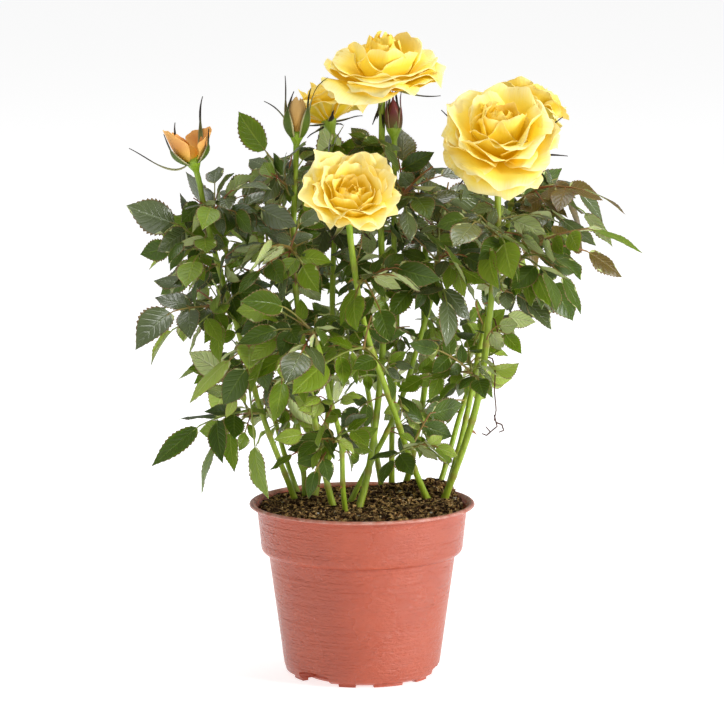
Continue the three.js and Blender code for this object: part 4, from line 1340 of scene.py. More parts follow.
@dataclass
class Flowers:
    """Every bloom and bud, from its stalk and hip to its petals and sepals."""

    canes: Canes
    hip_length: float = 7
    hip_radius: float = 2.6
    rows: int = 14
    columns: int = 17
    thick: float = 0.34
    handle: float = 0.38

    def frame(self, flower: Flower, bowl: Bowl | None = None) -> FlowerFrame:
        """Works out a flower's frame from the cane's tip.

        Args:
            flower: The flower.
            bowl: Where it faces and how far its stalk lifts it, if not as its solid does.

        Returns:
            The frame.
        """
        cane = CANES[flower.cane]
        ahead = unit(np.array(bowl.axis if bowl else flower.axis, float))
        way = self.canes.tangent(cane, 1)
        start = self.canes.point(cane, 1) + way * CLEAR
        bend = start + way * (STALK + (bowl.lift if bowl else 0))
        base = bend + ahead * STALK
        side = square(EAST if abs(flower.axis[1]) > 0.5 else NORTH, ahead)
        girth = self.canes.drawn_radius(cane, 1)
        return FlowerFrame(ahead, start, bend, base, side, np.cross(ahead, side), girth)

    def spine(self, blade: Blade, u: Array) -> tuple[Array, Array, Array]:
        """A blade's middle line: a cubic curve whose ends slope off its chord by belly and curl.

        Args:
            blade: The petal or sepal.
            u: Shares of its length.

        Returns:
            How far out and how far up the axis each place is, and its slope off the axis.
        """
        root, tip = np.array(blade.root, float), np.array(blade.tip, float)
        chord = tip - root
        lean = math.atan2(chord[0], chord[1])
        arm = self.handle * np.hypot(*chord)
        first = root + arm * np.array([math.sin(lean + blade.belly), math.cos(lean + blade.belly)])
        second = tip - arm * np.array([math.sin(lean + blade.curl), math.cos(lean + blade.curl)])
        u, w = u[..., None], 1 - u[..., None]
        place = w**3 * root + 3 * w * w * u * first + 3 * w * u * u * second + u**3 * tip
        rate = w * w * (first - root) + 2 * w * u * (second - first) + u * u * (tip - second)
        return place[..., 0], place[..., 1], np.arctan2(rate[..., 0], rate[..., 1])

    def sides(
        self,
        frame: FlowerFrame,
        blade: Blade,
        spine: tuple[Array, Array, Array],
        inward: Array,
        aside: Array,
        half: float | Array,
    ) -> list[Array]:
        """A blade's two sides: frame's base + way out * (out - cos(slope) * push) + axis *
        (up + sin(slope) * push) + the way round * aside, with inward + or - half as push.

        Args:
            frame: The flower's frame.
            blade: The petal or sepal.
            spine: Its middle line, as the method of that name gives it.
            inward: How far each point is pushed towards the axis, along the spine's normal.
            aside: How far it is from the spine, round the axis.
            half: Half the thickness.

        Returns:
            The inner and the outer side's points.
        """
        out, up, slope = spine
        way = frame.outward(blade.turn)
        axes = np.stack([way, frame.axis, np.cross(frame.axis, way)])
        return [
            frame.base + np.stack([out - np.cos(slope) * push, up + np.sin(slope) * push, aside], -1) @ axes
            for push in (inward + half, inward - half)
        ]

    def petal(self, frame: FlowerFrame, blade: Blade, size: float, seed: int) -> Skin:
        """One petal as a surface of u, from claw to tip, and v, from side to side.

        Its outline is the spine's share u * (1 - rounding * |v|^2.4 * u), drawn out by the point
        at v = 0. Across, it is an arc round the axis, of radius (distance out + a quarter of its
        half width) / cup. Waves of the ruffle grow as u^3, and its sides roll back as |v| nears 1.

        Args:
            frame: The flower's frame.
            blade: The petal's form.
            size: The bloom's radius.
            seed: Which small differences it has.

        Returns:
            The closed skin.
        """
        u, v = blade_grid(self.rows, self.columns)
        phase = [AROUND * chance(seed, k, 71) for k in range(4)]
        share = u * (1 - blade.rounding * np.abs(v) ** 2.4 * u)
        share = share + blade.point * np.exp(-((v / 0.24) ** 2)) * u**5
        share = share + (0.028 * np.sin(v * 7 + phase[0]) + 0.014 * np.sin(v * 15 + phase[1])) * u**4
        spine = self.spine(blade, share)
        swell = np.sin(np.minimum(u / 0.7, 1) * np.pi / 2)
        width = blade.half * (0.3 + 0.7 * swell) * (1 - 0.14 * smooth((u - 0.7) / 0.3))
        wider = 0.25 * blade.half * (blade.limit > 1.4)
        curve = (np.maximum(spine[0], 0.5) + wider) / max(blade.cup, 0.05)
        angle = v * np.minimum(width / curve, blade.limit)
        aside, inward = curve * np.sin(angle), curve * (1 - np.cos(angle))
        ripple = np.sin(v * mix(2.4, 3.8, chance(seed, 5, 71)) + phase[1]) * u**3
        ripple = ripple + 0.45 * np.sin(v * mix(6, 9, chance(seed, 6, 71)) + phase[2]) * u**5
        ripple = ripple + 0.6 * np.sin(u * 5.5 + phase[3]) * np.abs(v) ** 3 * np.sign(v)
        back = smooth((np.abs(v) - 0.4) / 0.6) ** 2 * u**1.5 + 0.3 * smooth((u - 0.7) / 0.3)
        crease = 0.03 * np.exp(-((v / 0.2) ** 2)) * u
        inward = inward + size * (blade.ruffle * ripple - blade.roll * back - crease)
        half = self.thick / 2 * (1 - 0.6 * u)
        both = self.sides(frame, blade, spine, inward, aside, half)
        return shell(*both, np.stack([v, u], -1))

    def sepal(self, frame: FlowerFrame, blade: Blade) -> Skin:
        """A sepal as a narrow curved blade of u and v, drawn out to a thread of a tip.

        Its half width is its half times sin(pi * min(1, u / 0.75 + 0.14))^0.8, and never less
        than 0.62 mm until its last quarter; it is folded up along its middle by 0.3 of that.

        Args:
            frame: The flower's frame.
            blade: Its form.

        Returns:
            The closed skin, its inner side in slot 0 and its outer side in slot 1.
        """
        u, v = blade_grid(14, 7)
        spine = self.spine(blade, u)
        swell = np.sin(np.pi * np.minimum(1, u / 0.75 + 0.14)) ** 0.8
        width = np.maximum(blade.half * swell, 0.62) * (1 - 0.75 * smooth((u - 0.75) / 0.25))
        curve = np.maximum(spine[0], 0.5) / max(blade.cup, 0.05)
        angle = v * np.minimum(width / curve, 1.2)
        fold = 0.3 * width * v**2 * (blade.cup == 0)
        inward = curve * (1 - np.cos(angle)) + fold
        both = self.sides(frame, blade, spine, inward, curve * np.sin(angle), 0.17)
        return shell(*both, np.stack([v, u], -1), (0, 1))

    def stalk(self, frame: FlowerFrame) -> list[Skin]:
        """The stalk, bending from the cane to the flower's axis, and the round hip on it."""
        t = evenly(14)[:, None]
        top = frame.base + frame.axis * 1.5
        tail = frame.start - unit(frame.bend - frame.start) * 1.2
        line = (1 - t) ** 2 * tail + 2 * t * (1 - t) * frame.bend + t**2 * top
        radii = np.full((1, 14), frame.radius) * (1 + 0.08 * np.sin(t[:, 0] * 3))
        s = evenly(14)
        hip = frame.base + frame.axis * (mix(-2.6, self.hip_length, s))[:, None]
        swell = mix(frame.radius * 0.98, self.hip_radius * 1.6, smooth(s * 1.25))
        profile = swell * (1 - 0.2 * smooth(s * 5 - 4))
        return [tubes(line[None], radii, 14), tubes(hip[None], profile[None], 18)]

    def bloom(self, frame: FlowerFrame, flower: Flower, bowl: Bowl) -> Skin:
        """All the petals of an open bloom, ring by ring, with tips on the bowl's curve.

        A tip's height is the quadratic through heart, shoulder and rim at 0, 0.5 and 1 of the
        radius; the last ring takes the skirt's.

        Args:
            frame: The flower's frame.
            flower: The flower.
            bowl: The heights of its petal tips.

        Returns:
            The skin.
        """
        size = flower.radius
        petals = []
        for number, ring in enumerate((*RINGS, SKIRT)):
            for i in range(ring.count if number not in bowl.skipped else 0):
                seed = flower.seed * 100 + number * 10 + i
                r = ring.radius * (1 + 0.1 * bowl.loose * (chance(seed, 6, 72) - 0.55))
                a, b = bowl.heart, bowl.shoulder
                height = a + (4 * b - 3 * a - bowl.rim) * r + 2 * (a + bowl.rim - 2 * b) * r * r
                if ring is SKIRT:
                    height = bowl.skirt
                height += 0.1 * bowl.loose * (chance(seed, 7, 72) - 0.5)
                turn = 2 * math.pi * (i + 0.5 * (number % 2)) / ring.count + number * 0.37
                turn += 0.3 * bowl.loose * (chance(seed, 5, 72) - 0.5)
                height -= bowl.sag * r**2 * max(0.0, math.cos(turn - bowl.sag_turn))
                root = mix(0.6, 2.4, ring.radius), 5.2
                tip = r * size * bowl.spread, 4 + height * size
                curl = ring.curl + 0.3 * bowl.loose * (chance(seed, 9, 72) - 0.5)
                half = ring.half * size * mix(0.85, 1.1, chance(seed, 8, 72))
                half *= 1 + 0.1 * len(bowl.skipped)
                point = ring.point * mix(-0.3, 1.5, chance(seed, 10, 72))
                roll = ring.roll * mix(0.5, 1.3, chance(seed, 11, 72))
                blade = Blade(turn, root, tip, ring.belly, curl, half, ring.cup, ring.ruffle, point, roll)
                # Deeper claw colour for inner rings and 0.3 more on each outer side: partly the rose's own
                # colour, partly painted shade in the bloom's depths and painted light shining through the
                # petals.
                sides = np.repeat([ring.depth, ring.depth + 0.3], self.rows * self.columns)
                petals.append(self.petal(frame, blade, size, seed).shaded(sides))
        return joined(petals)

    def bud(self, frame: FlowerFrame, flower: Flower, blades: Sequence[Blade]) -> Skin:
        """A bud's petals, wrapped round the axis, each outside the last."""
        petals = []
        for i, blade in enumerate(blades):
            skin = self.petal(frame, blade, flower.radius, flower.seed * 100 + i)
            petals.append(skin.shaded(0.75 if blade.tip[0] < 3.5 else 0.0))
        return joined(petals)

    def closed(self, frame: FlowerFrame, flower: Flower) -> Skin:
        """A shut bud's body: an egg drawn to a point, ribbed by the sepals that wrap it."""
        s = evenly(22)
        path = frame.base + frame.axis * mix(3.0, 20.0, s)[:, None]
        radius = flower.radius * 0.96 * np.sin(np.pi * mix(0.2, 0.97, s) ** 0.85) ** 0.9
        side = 2 * np.pi * np.arange(20) / 20
        relief = 1 + 0.05 * np.cos(5 * side)[None, :] * np.ones((22, 1))
        skin = tubes(path[None], np.maximum(radius, 0.25)[None], 20, relief[None])
        return skin.shaded(np.repeat(smooth(s * 1.6 - 0.3), 20))

    def build(self) -> None:
        """Builds every bloom and bud, with its stalk, hip and sepals."""
        # Each petal finish glows a little (its last number, or 0.1 for yellow): painted light through the
        # petals.
        yellow = PetalSilk("petal_yellow", (244, 204, 4), (246, 226, 104), (252, 242, 190)).make()
        apricot = PetalSilk("petal_apricot", (220, 168, 34), (208, 122, 62), (255, 200, 116), 0.3, 0.02)
        buff = PetalSilk("petal_buff", (190, 142, 62), (214, 170, 100), (242, 210, 154), 0.3, 0.02)
        bud_silks = {"bud_left": apricot.make(), "bud_mid": buff.make()}
        stalk = Bark("stalk_green", (128, 164, 20), (160, 188, 60), (120, 140, 40)).make()
        wrap = Bark("bud_wrap", (108, 128, 48), (130, 146, 66), (112, 40, 42), 0.4).make()
        inner = SepalSkin("sepal_inner", (128, 140, 74), (206, 200, 160), (34, 26, 14), 0.36).make()
        green = SepalSkin("sepal_green", (84, 106, 22), (206, 196, 140), (26, 24, 8)).make()
        dark = SepalSkin("sepal_dark", (66, 60, 26), (104, 76, 46), (40, 22, 14), 0.2).make()
        red = SepalSkin("sepal_red", (104, 92, 40), (150, 110, 80), (96, 30, 34), 0.15).make()
        for name, flower in FLOWERS.items():
            bowl, shut = BOWLS.get(name), flower.open == 0
            frame = self.frame(flower, bowl)
            if bowl:
                skin, finish, slot = self.bloom(frame, flower, bowl), yellow, "yellow_petal"
            elif shut:
                skin, finish, slot = self.closed(frame, flower), wrap, "bud"
            else:
                skin, finish, slot = self.bud(frame, flower, BUD_PETALS[name]), bud_silks[name], "bud"
            make_piece(name + "_petals", skin, [finish], slot, [name], 75)
            sepals = joined([self.sepal(frame, blade) for blade in SEPALS[name]])
            outside = dark if bowl else red if shut else green
            make_piece(name + "_sepals", sepals, [inner, outside], "bud", [name], 75)
            make_piece(name + "_stalk", joined(self.stalk(frame)), [stalk], "green_cane", [name])


# ---- leaves


@dataclass(frozen=True)
class Shoot:
    """A leafy shoot: the cane it starts on, at what share of its height, and its aim."""

    cane: str
    at: float
    aim: Triple
    leaves: int
    size: float


SHOOTS = {
    "left_high": Shoot("left_bud", 0.8, (-97, -18, 244), 3, 27),
    "left_inner": Shoot("left_bud", 0.9, (-68, -22, 262), 3, 27),
    "left_mid": Shoot("left_bud", 0.62, (-99, -28, 199), 3, 27),
    "left_pale": Shoot("mid_bud", 0.52, (-68, -42, 176), 3, 32),
    "left_low": Shoot("left_bud", 0.3, (-86, -14, 136), 2, 35),
    "left_hanging": Shoot("left_bud", 0.48, (-56, -42, 130), 2, 31),
    "top_left": Shoot("mid_bud", 0.9, (-50, -8, 281), 3, 27),
    "mid_left": Shoot("mid_bud", 0.74, (-46, -48, 236), 4, 30),
    "behind_front": Shoot("left_back", 0.84, (-17, -10, 280), 3, 28),
    "top_centre": Shoot("top", 0.9, (-4, -16, 284), 3, 27),
    "top_right": Shoot("closed_bud", 0.86, (37, -14, 274), 4, 27),
    "centre_front": Shoot("front", 0.84, (16, -58, 222), 4, 30),
    "centre_low": Shoot("front", 0.6, (-18, -54, 176), 3, 28),
    "front_left": Shoot("centre_front", 1, (-40, -60, 206), 4, 29),
    "front_foot": Shoot("centre_front", 0.45, (-22, -46, 134), 4, 22),
    "right_front": Shoot("centre_right", 0.92, (46, -42, 232), 5, 30),
    "right_inner": Shoot("right", 0.84, (58, -44, 248), 4, 29),
    "right_high": Shoot("far_right", 0.84, (117, 8, 259), 4, 32),
    "right_mid": Shoot("right", 0.7, (118, -30, 243), 4, 29),
    "right_low": Shoot("front", 0.22, (34, -24, 128), 3, 27),
    "right_sparse": Shoot("right", 0.4, (40, -22, 178), 3, 20),
    "centre_high": Shoot("centre_right", 1, (46, 22, 262), 4, 28),
    "centre_back": Shoot("back_leafy", 1, (30, 52, 256), 4, 28),
    "foot_left": Shoot("left_leafy", 0.35, (-52, 8, 150), 3, 25),
    "back_inner": Shoot("left_leafy", 1, (-52, 38, 252), 4, 28),
    "back_left": Shoot("back_left", 1, (-92, 52, 226), 4, 29),
    "back_left_low": Shoot("back_left", 0.5, (-80, 62, 160), 3, 29),
    "back_centre": Shoot("back_centre", 1, (-14, 80, 262), 4, 29),
    "back_low": Shoot("back_centre", 0.5, (-12, 84, 168), 4, 29),
    "back_right": Shoot("back_right", 1, (86, 72, 246), 4, 29),
    "back_right_low": Shoot("back_right", 0.5, (42, 80, 170), 3, 29),
}


@dataclass
class Leaflet:
    """A leaflet: its root, the way it points, the way its upper side faces, and its length."""

    root: Array
    way: Array
    face: Array
    length: float


@dataclass
class Leaf:
    """A compound leaf: its stalk's knots, its leaflets, and where it belongs."""

    knots: Array
    leaflets: list[Leaflet]
    seed: int
    index: int
    clump: Clump = Clump.FRONT
    fine: bool = False

    def drawn(self, side_share: float) -> "Leaf":
        """The same leaf with its leaflets as they are drawn: a little smaller, each turned and
        tipped by chance, and those that point up bent over by their own weight. A shoot's last
        leaf, which is young, is tipped half as far, and its end leaflet keeps its length.

        Args:
            side_share: The length of a drawn leaflet as a share of the rule's.

        Returns:
            The leaf itself.
        """
        for k, leaflet in enumerate(self.leaflets):
            if self.index or k:
                leaflet.length *= side_share
            roll = 1.3 * (chance(self.seed, self.index * 7 + k, 101) - 0.5)
            dip = mix(-0.05, 0.55, chance(self.seed, self.index * 7 + k, 102) ** 1.3)
            dip += 0.3 * max(0.0, leaflet.way[2]) if self.index else -0.5 * dip
            leaflet.way = unit(leaflet.way - UP * dip)
            face = square(leaflet.face, leaflet.way)
            leaflet.face = face * math.cos(roll) + np.cross(leaflet.way, face) * math.sin(roll)
        return self

    def moved(self, shift: Array) -> "Leaf":
        """The same leaf moved a little."""
        self.knots = self.knots + shift
        for leaflet in self.leaflets:
            leaflet.root = leaflet.root + shift
        return self


@dataclass
class Growth:
    """The rule that leaves grow by: laid out along shoots, each kept clear of what is there."""

    canes: Canes
    flowers: Flowers
    facet_slack: float = 0.1
    shoot_arch: float = 0.14
    rachis: float = 30
    rachis_sag: float = 0.16
    leaflet_width: float = 0.76
    droop: float = 0.1
    spread: float = 1.02
    pairs: tuple[Pair, ...] = ((0.62, 0.86), (0.26, 0.62))
    light: Triple = (0, -0.4, 0)
    tries: int = 14
    least: int = 2
    leaf_room: float = 4.6
    twig_room: float = 3
    twig_samples: int = 16
    cane_room: float = 2.2
    stalk_room: float = 1.3
    flower_room: float = 3
    fine_eases: tuple[float, ...] = (0.8, 0.62, 0.5, 0.4)
    farther: float = 13
    open_below: float = 188
    open_sides: Pair = (-40, 46)
    grown: list[Array] = field(default_factory=list)

    SAMPLES = np.array(
        [
            [0.12, 0], [0.3, -0.8], [0.3, 0], [0.3, 0.8], [0.5, -0.9], [0.5, 0],
            [0.5, 0.9], [0.72, -0.7], [0.72, 0], [0.72, 0.7], [0.9, 0], [1, 0],
        ]
    )  # (along, across) points spread over a leaflet

    def __post_init__(self) -> None:
        """Samples the canes and the flowers that leaves keep clear of."""
        shares = np.arange(61) / 60
        self.cane_points = np.array([self.canes.on(cane, t) for cane in CANES.values() for t in shares])
        self.cane_radii = np.concatenate([self.canes.radius(cane, shares) for cane in CANES.values()])
        self.rooms = [self.flower_space(flower) for flower in FLOWERS.values()]

    def flower_space(self, flower: Flower) -> tuple[Array, Array, float, float]:
        """The room a flower needs: the middle, axis, radius and half depth of an ellipsoid."""
        frame = self.flowers.frame(flower)
        bud = flower.open < BUD_OPEN
        depth = 20 if bud else flower.radius * mix(0.75, 0.5, flower.open) + 3
        centre = frame.base + frame.axis * (12 if bud else 4 + depth * 0.55)
        radius = flower.radius * (1.3 if bud else 1.06) + self.flower_room
        return centre, frame.axis, radius, depth + self.flower_room

    def clear_of_limbs(self, points: Array, room: float) -> bool:
        """True if points keep clear of the pot, the canes and the flowers."""
        pot = self.canes.soil.pot
        radius = np.hypot(points[:, 0], points[:, 1])
        low = np.where(radius < pot.lip_radius + 5, pot.height + 9, pot.height - 4)
        if (points[:, 2] < low).any():
            return False
        apart = np.linalg.norm(points[:, None] - self.cane_points, axis=2)
        if (apart < self.cane_radii + room).any():
            return False
        for centre, axis, wide, deep in self.rooms:
            away = points - centre
            height = away @ axis
            out = np.maximum(0, (away**2).sum(1) - height**2)
            if ((out / wide**2 + (height / deep) ** 2) <= 1).any():
                return False
        return True

    def clear_of_grown(self, points: Array, room: float, ease: float) -> bool:
        """True if points keep their room, or the other's if less, from all that has grown."""
        if not self.grown:
            return True
        others = self.everything
        near = others[np.abs(others[:, :3] - points.mean(0)).max(1) < 24 + room]
        apart = np.linalg.norm(points[:, None] - near[:, :3], axis=2)
        return bool((apart > np.minimum(room, near[:, 3]) * ease).all())

    def settle(self, points: Array, room: float) -> None:
        """Adds points, with the room that they keep, to what has grown."""
        self.grown.append(np.column_stack([points, np.full(len(points), room)]))
        self.everything = np.concatenate(self.grown)

    def leaflet_points(self, leaflet: Leaflet) -> Array:
        """A leaflet's sample points."""
        side = np.cross(leaflet.way, leaflet.face)
        u, v = self.SAMPLES[:, :1], self.SAMPLES[:, 1:]
        half = leaflet.length * self.leaflet_width / 2
        flat = leaflet.root + leaflet.way * leaflet.length * u + side * half * v
        return flat - leaflet.face * self.droop * leaflet.length * u * u

    def fits(self, points: Array, limb_room: float, own_room: float, ease: float) -> bool:
        """True if points keep a share, ease, of their room from limbs and of that from leaves.

        Args:
            points: A leaflet's or a stalk's sample points.
            limb_room: The room it keeps from canes.
            own_room: The room it keeps from what has grown.
            ease: How much of both is enough.

        Returns:
            Whether it fits.
        """
        clear = self.clear_of_limbs(points, limb_room * ease)
        return clear and self.clear_of_grown(points, own_room, ease)

    def fitting(self, leaf: Leaf, ease: float) -> list[Leaflet]:
        """The leaflets of a leaf that fit."""
        rooms = (self.cane_room, self.leaf_room, ease)
        return [x for x in leaf.leaflets if self.fits(self.leaflet_points(x), *rooms)]

    def stalk_points(self, leaf: Leaf) -> Array:
        """Sample points along a leaf's stalk, past its own start."""
        return np.array([on_knots(leaf.knots, mix(0.2, 1, i / 6)) for i in range(7)])

    def keep(self, leaf: Leaf) -> None:
        """Settles a leaf where it grew."""
        for leaflet in leaf.leaflets:
            self.settle(self.leaflet_points(leaflet), self.leaf_room)
        self.settle(self.stalk_points(leaf), self.twig_room)

    def compound(
        self, base: Array, way: Array, reach: float, size: float, seed: int, index: int, pairs: int
    ) -> Leaf:
        """A compound leaf: a sagging stalk with an end leaflet and pairs of side leaflets.

        The stalk is base + way * reach * u - up * sag * reach * u^2.

        Args:
            base: Where it starts.
            way: Its direction.
            reach: The stalk's length.
            size: The end leaflet's length.
            seed: The shoot's number.
            index: The leaf's number on its shoot.
            pairs: How many pairs of side leaflets.

        Returns:
            The leaf.
        """
        sag = UP * self.rachis_sag
        knots = np.array([base + way * reach * u - sag * reach * u * u for u in (0, 0.5, 1)])
        outward = unit(knots[-1] * np.array([1, 1, 0]))
        stray = np.array([chance(seed, index, 1), chance(seed, index, 2), 0.5]) - 0.5
        lit = UP * 0.5 + outward * 0.35 + np.array(self.light) + 1.1 * stray
        leaf = Leaf(knots, [], seed, index)
        wanted = [(1.0, 0.0, size)]
        for share, scale in self.pairs[:pairs]:
            wanted += [(share, -self.spread, size * scale), (share, self.spread, size * scale)]
        for k, (u, turn, length) in enumerate(wanted):
            tangent = unit(way - UP * 2 * self.rachis_sag * u)
            face = square(lit, tangent)
            side = np.cross(tangent, face)
            heading = tangent * math.cos(turn) + side * math.sin(turn)
            heading = unit(heading - UP * 0.18 * chance(seed, index, 10 + k))
            twist = square(face + side * 0.5 * (chance(seed, index, 20 + k) - 0.5), heading)
            full = length * mix(0.9, 1.1, chance(seed, index, 30 + k))
            root = on_knots(knots, u - 0.02 * np.sign(turn) - 0.01)
            leaf.leaflets.append(Leaflet(root, heading, twist, full))
        return leaf

    def arch(self, shoot: Shoot) -> tuple[Array, Callable[[float], Array], float]:
        """A shoot's start, its arching line of 0 to 1, and where along it its last leaf begins."""
        cane = CANES[shoot.cane]
        aim = np.array(shoot.aim, float)
        origin = self.canes.on(cane, shoot.at)
        tangent = self.canes.tangent(cane, shoot.at)
        at_tip = shoot.at == 1
        leave = tangent if at_tip else square(aim - origin, tangent)
        clear = self.facet_slack + CLEAR + (0 if at_tip else self.canes.radius(cane, shoot.at))
        start = origin + leave * clear
        stub = start + leave * 1.6
        span = np.linalg.norm(aim - stub)
        joint = max(0.15, 1 - self.rachis / span)

        def line(t: float) -> Array:
            """The straight way to the aim, lifted by a half sine."""
            return mix(stub, aim, t) + UP * self.shoot_arch * span * math.sin(math.pi * t)

        return start, line, joint

    def turned(self, tangent: Array, turn: float, lean: float) -> Array:
        """A heading that leans off a tangent, at an angle round it, and a little upwards."""
        across = square(np.array([0.3, 0.2, 1]), tangent)
        third = np.cross(tangent, across)
        aside = across * math.cos(turn) + third * math.sin(turn)
        return unit(tangent * math.cos(lean) + aside * math.sin(lean) + UP * 0.12)

    def best(self, candidates: Iterable[Leaf], ease: float, least: int) -> Leaf | None:
        """The candidate leaf that keeps the most leaflets.

        Args:
            candidates: Leaves to try, in order.
            ease: How much of the usual room is enough.
            least: A leaf with fewer leaflets is no use.

        Returns:
            The best leaf with only the leaflets that fit, or None.
        """
        found = None
        for leaf in candidates:
            if not self.fits(self.stalk_points(leaf), self.stalk_room, self.twig_room, ease):
                continue
            leaf.leaflets = self.fitting(leaf, ease)
            if len(leaf.leaflets) > (len(found.leaflets) if found else least - 1):
                found = leaf
        return found

    def main_leaves(self, shoot: Shoot, knots: Array, seed: int) -> list[tuple[Leaf, float]]:
        """The leaves of a shoot that its solid has too: the last one at its aim, then the others."""
        base = knots[-1]
        way = np.array(shoot.aim, float) - base
        reach = np.linalg.norm(way) / math.hypot(1, self.rachis_sag)
        lift = way + UP * self.rachis_sag * reach
        last = self.compound(base, unit(lift), float(np.linalg.norm(lift)), shoot.size, seed, 0, 2)
        last.leaflets = self.fitting(last, 1)
        self.keep(last)
        leaves = [(last, 1.0)]
        for i in range(1, shoot.leaves + 1):
            t = mix(0.28, 0.98, (i - 0.5) / shoot.leaves)
            source = on_knots(knots, t)
            tangent = unit(on_knots(knots, t + 0.03) - on_knots(knots, t - 0.03))
            size = shoot.size * (0.84 + 0.2 * chance(seed, i, 80))
            candidates = []
            for k in range(self.tries):
                turn = i * GOLDEN + k * 0.7 + 0.6 * chance(seed, i, 40 + k)
                heading = self.turned(tangent, turn, 0.85 + 0.5 * chance(seed, i, 60 + k))
                reach = self.rachis * mix(0.65, 0.95, chance(seed, i, 90 + k))
                candidates.append(self.compound(source, heading, reach, size, seed, i, 1))
            leaf = self.best(candidates, 1, self.least)
            if leaf:
                self.keep(leaf)
                leaves.append((leaf, t))
        return leaves

    def fine_leaf(
        self, source: Array, tangent: Array, size: float, seed: int, index: int, ease: float
    ) -> Leaf | None:
        """One more small leaf where there is room, no farther out than leaves already reach."""
        candidates = []
        for k in range(9):
            turn = index * GOLDEN + k * 1.1 + chance(seed, index, 240 + k)
            heading = self.turned(tangent, turn, 0.7 + 0.6 * chance(seed, index, 260 + k))
            reach = size * mix(0.55, 1.0, chance(seed, index, 290 + k))
            leaf = self.compound(source, heading, reach, size, seed, index, 1 + (size > 19))
            tip = leaf.knots[-1] + heading * size
            near = np.abs(self.reached - tip).max(1).min() < self.farther
            if near and not self.left_open(leaf, seed + 31 * index + k):
                candidates.append(leaf)
        return self.best(candidates, ease, 2)

    def left_open(self, leaf: Leaf, seed: int) -> bool:
        """True where the plant stays open: low down at both sides, and before the front cane.

        Args:
            leaf: A small leaf that might grow there.
            seed: Lets one in six grow at the sides after all.

        Returns:
            Whether it is left out.
        """
        points = np.concatenate([self.leaflet_points(x) for x in leaf.leaflets])
        x, y, z = points.mean(0)
        west, east = self.open_sides
        if z < self.open_below and not west <= x <= east and chance(seed, 3, 9) > 0.17:
            return True
        line = self.canes.point(CANES["front"], np.linspace(0.08, 0.95, 60))
        across = np.abs(points[:, 0] - np.interp(points[:, 2], line[:, 2], line[:, 0]))
        before = points[:, 1] < np.interp(points[:, 2], line[:, 2], line[:, 1]) + 2
        return bool((before & (across < 6)).any())

    def all_leaves(self) -> tuple[list[Leaf], list[tuple[Clump, Array]]]:
        """Grows the whole plant's leaves.

        Returns:
            The leaves, and each shoot's clump and smooth line.
        """
        lines = [self.arch(shoot) for shoot in SHOOTS.values()]
        knots = [polyline(lambda t, line=line, joint=joint: line(joint * t), 3) for _, line, joint in lines]
        for own in knots:
            along = [mix(0.06, 1, i / self.twig_samples) for i in range(self.twig_samples + 1)]
            self.settle(np.array([on_knots(own, t) for t in along]), self.twig_room)
        leaves: list[Leaf] = []
        twigs: list[tuple[Clump, Array]] = []
        for seed, (shoot, (start, line, joint), own) in enumerate(zip(SHOOTS.values(), lines, knots), 1):
            clump = CANES[shoot.cane].clump
            for leaf, t in self.main_leaves(shoot, own, seed):
                leaf.clump = clump
                leaves.append(leaf.moved(line(joint * t) - on_knots(own, t)))
            smooth_line = polyline(lambda t, line=line, joint=joint: line(joint * t), 15)
            tail = start - unit(smooth_line[0] - start) * 2.2
            twigs.append((clump, np.concatenate([[tail], smooth_line])))
        every = [x for leaf in leaves for x in leaf.leaflets]
        self.reached = np.concatenate([self.leaflet_points(x) for x in every])
        leaves += self.fine_leaves(lines)
        return leaves, twigs

    def fine_size(self, z: float, share: float) -> float:
        """A small leaf's size: larger in the crown than low down."""
        return mix(13, 20, share) if z < self.open_below else mix(18, 27, share)

    def fine_places(self, lines: list, number: int) -> Iterable[tuple]:
        """Where small leaves may grow: at five places on each shoot and at the knots of each cane.

        Args:
            lines: Each shoot's start, line and joint.
            number: The round, which gives each place another number.

        Returns:
            For each place the stalk's foot and start, the direction there, the clump, the seed
            and index of a leaf, and the share that sets its size.
        """
        for seed, (shoot, (_, line, joint)) in enumerate(zip(SHOOTS.values(), lines), 1):
            for j in range(5):
                index = 20 + 10 * number + j
                t = joint * mix(0.12, 0.97, (j + chance(seed, index, 210)) / 5)
                tangent = unit(line(t + 0.02) - line(t - 0.02))
                share = chance(seed, index, 220)
                yield line(t), line(t), tangent, CANES[shoot.cane].clump, seed, index, share
        for row, cane in enumerate(CANES.values()):
            for k, t in enumerate(self.canes.knot_shares(cane, row + 1)):
                if 0.3 <= t <= 0.96:
                    index = 60 + 20 * number + k
                    tangent = self.canes.tangent(cane, t)
                    turn = chance(row, index, 230) * AROUND
                    out = square(np.array([math.cos(turn), math.sin(turn), 0.2]), tangent)
                    foot = self.canes.point(cane, t)
                    source = foot + out * (self.canes.radius(cane, t) + 1.5)
                    share = chance(row, index, 231)
                    yield foot, source, unit(out + tangent * 0.8), cane.clump, row + 40, index, share

    def fine_leaves(self, lines: list) -> list[Leaf]:
        """The small leaves that the solids leave out, grown round by round with less room."""
        made = []
        for number, ease in enumerate(self.fine_eases):
            for foot, source, way, clump, seed, index, share in self.fine_places(lines, number):
                size = self.fine_size(source[2], share)
                leaf = self.fine_leaf(source, way, size, seed, index, ease)
                if leaf:
                    leaf.clump, leaf.fine, leaf.knots[0] = clump, True, foot
                    self.keep(leaf)
                    made.append(leaf)
        return made


